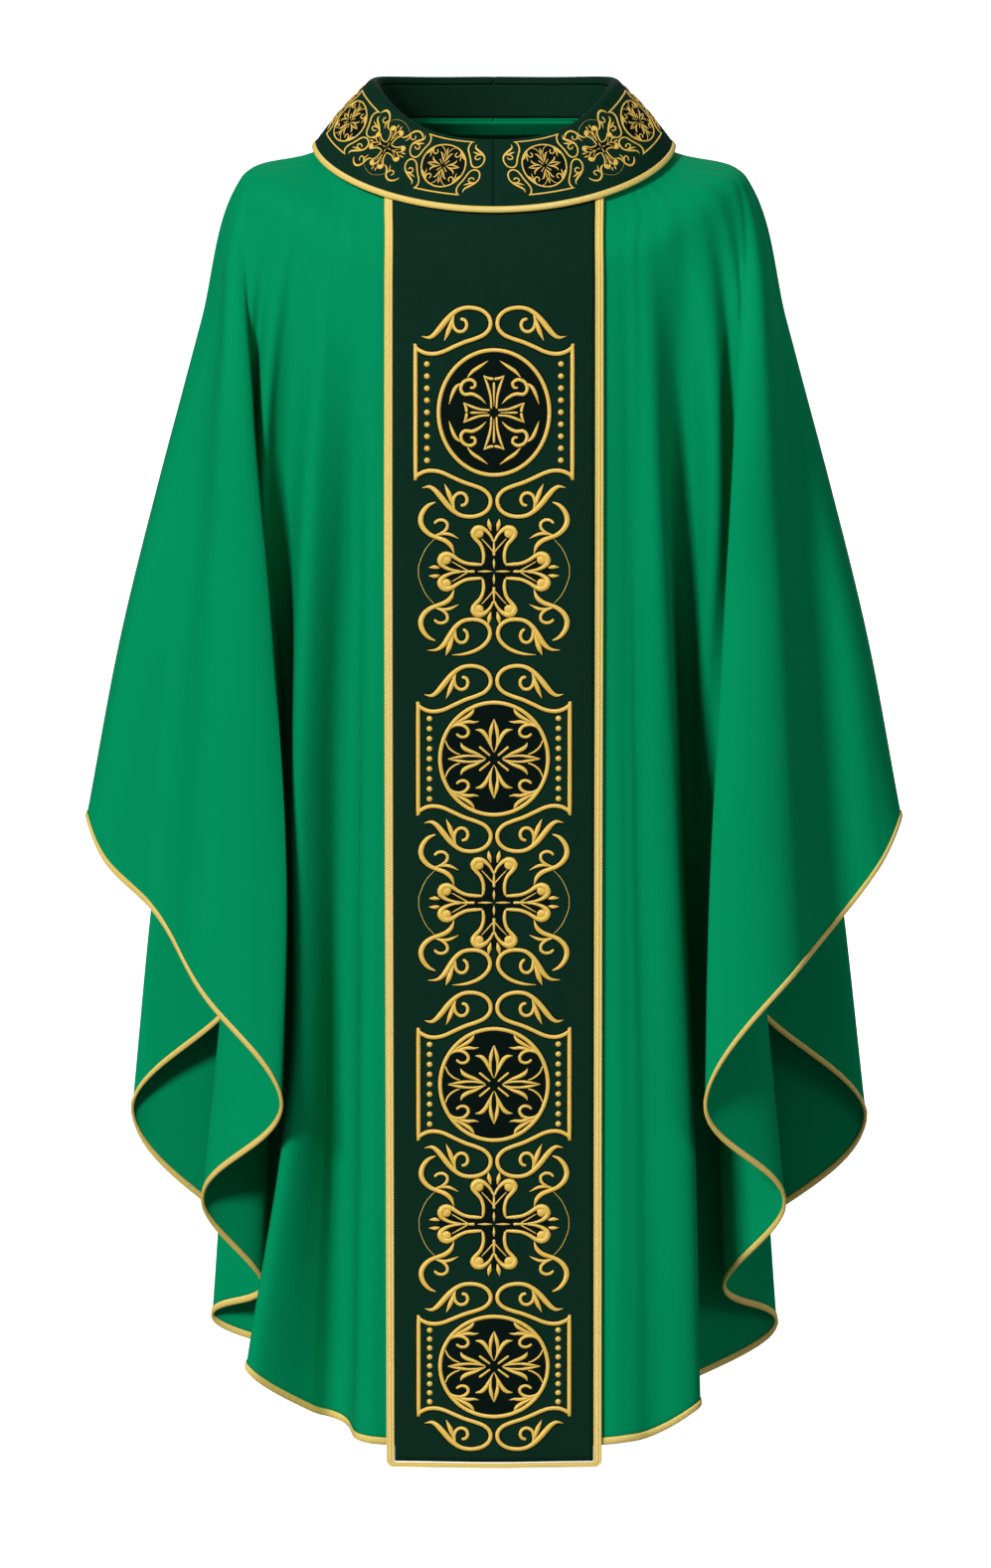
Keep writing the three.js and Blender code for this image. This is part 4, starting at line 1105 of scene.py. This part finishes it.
WHOLE = (-math.pi, math.pi)
stand = collar_sheet("collar_stand_cloth", WHOLE, (-0.95, STAND_SEAM - 0.02), 180, 12, 0.5, velvet,
                     COLLAR_THICKNESS)
finish_piece(stand, "band_cloth", "collar_stand")
FALLS = {}
for side, sign in (("left", 1), ("right", -1)):
    reach = sorted((sign * 0.0004, sign * (math.pi - 0.0004)))
    made = collar_sheet(f"collar_{side}_fall_cloth", reach, (STAND_SEAM, 0.997), 130, 56, 0.7, velvet,
                        COLLAR_THICKNESS)
    FALLS[side] = finish_piece(made, "band_cloth", f"collar_fall_{side}")
inner = collar_sheet("collar_interlining_cloth", WHOLE, (0.2, 0.88), 120, 12, -1.6, canvas, 0.0006)
finish_piece(inner, "lining", "collar_interlining")
print("collar", stand.name, [f.name for f in FALLS.values()], inner.name)

# %% [markdown]
# The edge of the fall is bound like the hem, and its motifs are the band's own, worked smaller and turned so
# that their scrolls point along the collar. Near the roll the collar is narrower round than at its edge, so
# each motif is laid by true distances along every level and does not stretch.

# %% Collar binding and motifs
COLLAR_TAPE = 5.6


def collar_binding():
    def lay(x, y):
        angle = math.pi * (2 * x - 1)
        down, out = read_fold(FOLD, y)
        down = down * COLLAR_TAPE / TAPE_FACE + 0.8
        size = length_of(ring_point(COLLAR_EDGE, angle) - roll_ring(angle))[:, 0]
        return collar_place(angle, 1 + down / size, out)

    made = cloth("collar_edge_tape", 200, len(FOLD) - 1, lay, lambda x, y: (x * 0.93, y * TAPE_WIDTH),
                 braid, TAPE, merge=1e-6)
    return finish_piece(made, "gold_trim", "collar_piping")


SMALL = 0.4
COLLAR_FACE = 1.3
COLLAR_MOTIFS = {"medallion_front": ("collar", 20, 0.45), "cross_front": ("short", 46, 0.46),
                 "medallion_side": ("collar", 73, 0.48), "cross_back": ("short", 112, 0.5),
                 "medallion_back": ("collar", 146, 0.48)}


def on_collar(sign, degrees, share):
    middle = sign * math.radians(degrees)

    def place(x, y, height):
        down = x * SMALL / 1000
        centre = np.full(len(x), middle)
        size = 0.001 * length_of(ring_point(COLLAR_EDGE, centre) - roll_ring(centre))[:, 0]
        w = share + down / size
        ends = collar_place(centre + 0.02, w) - collar_place(centre - 0.02, w)
        angle = middle + y * SMALL / 1000 / (np.linalg.norm(ends, axis=-1) / 0.04)
        return collar_place(angle, w, COLLAR_FACE + height * (SMALL + 0.1))

    return place


piping = collar_binding()
for side, sign in (("left", 1), ("right", -1)):
    for name, (kind, degrees, share) in COLLAR_MOTIFS.items():
        place = on_collar(sign, degrees, share)
        made = sew(f"collar_{side}_{name}_gold", gold_of(DESIGNS[kind], step=4.5), place, thread)
        finish_piece(made, "gold_embroidery", f"collar_{side}_{name}")
        made = sew(f"collar_{side}_{name}_ground", shadow_rims_and_fills_of(DESIGNS[kind], step=7.0), place, dark_fill_and_shadow)
        finish_piece(made, "band_cloth")

# %% [markdown]
# Inside the neck a facing of the body cloth covers the raw edge, and a short stay tape under each shoulder
# keeps the seam from stretching under the weight of the cloth. Both lie against the inside of the panels.

# %% Facing and shoulder tapes
FACING_DEPTH = -1.8
FACING_WIDTH = 0.034
INNER_CLOTH = 0.0008


def neck_facing():
    lengths = {side: TABLES[side][0][:, -1] for side in HALVES}

    def lay(x, y):
        places = np.empty((len(x), 3))
        for side, chosen, s in (("left", x <= 0.5, x * 2 * LAST), ("right", x > 0.5, (1 - x) * 2 * LAST)):
            size = np.interp(s[chosen], np.arange(LAST + 1), lengths[side])
            t = (0.001 + FACING_WIDTH * y[chosen]) / size
            places[chosen] = HALVES[side].place(s[chosen], t, FACING_DEPTH)
        return places

    made = cloth("neck_facing_cloth", 8 * LAST, 5, lay, lambda x, y: (0.62 * x, FACING_WIDTH * y),
                 crepe, INNER_CLOTH, merge=1e-5)
    return finish_piece(made, "body_cloth", "neck_facing")


def shoulder_tape(side):
    def lay(x, y):
        return HALVES[side].place(SIDE - 2 + 4 * x, 0.062 + 0.128 * y, FACING_DEPTH)

    made = cloth(f"{side}_shoulder_tape_strip", 24, 24, lay, lambda x, y: (0.04 * x, 0.13 * y),
                 canvas, INNER_CLOTH)
    return finish_piece(made, "lining", f"{side}_shoulder_tape")


facing = neck_facing()
TAPES = {side: shoulder_tape(side) for side in HALVES}
print("inside pieces", facing.name, [t.name for t in TAPES.values()])

# %% [markdown]
# The panels' cut sizes come from the unrolled lines above, and the bands' middle lines are
# measured here. Of the collar, the facing and the tapes, each piece's real area is printed,
# one side of its grid before the thickness is added.

# %% Sheets
def sheet_area(piece):
    """The area of one side of a grid, before its thickness is added."""
    return sum(face.area for face in piece.data.polygons)


for face in ("front", "back"):
    for key, layer in ((face, "band"), ((face, "inner"), "band_interlining")):
        top, end, half_width = LAYERS[layer][2:]
        heights = np.linspace(top, end, 120)
        middle = band_place(face, np.zeros(120), heights, LAYERS[layer][0])
for piece in (stand, *FALLS.values(), inner, facing, *TAPES.values()):
    print(piece.name, round(sheet_area(piece), 4), "m2")

# %% [markdown]
# The floor is a wide pale studio sweep: it glows a little by itself, as a lit backdrop does, so that it
# stays even right up to the horizon.

# %% Floor and finish
floor_bm = bmesh.new()
bmesh.ops.create_grid(floor_bm, x_segments=1, y_segments=1, size=60)
bmesh.ops.translate(floor_bm, verts=floor_bm.verts, vec=(0, 0, -1.5))
pale = bpy.data.materials.new("pale_floor")
pale.use_nodes = True
pale_shader = pale.node_tree.nodes["Principled BSDF"]
pale_shader.inputs["Base Color"].default_value = (0.9, 0.9, 0.9, 1)
pale_shader.inputs["Roughness"].default_value = 1.0
pale_shader.inputs["Specular IOR Level"].default_value = 0.0
pale_shader.inputs["Emission Color"].default_value = (1, 1, 1, 1)
pale_shader.inputs["Emission Strength"].default_value = FLOOR_GLOW
floor = add_object("floor", floor_bm, pale, smooth=False)
floor.visible_diffuse = floor.visible_glossy = False
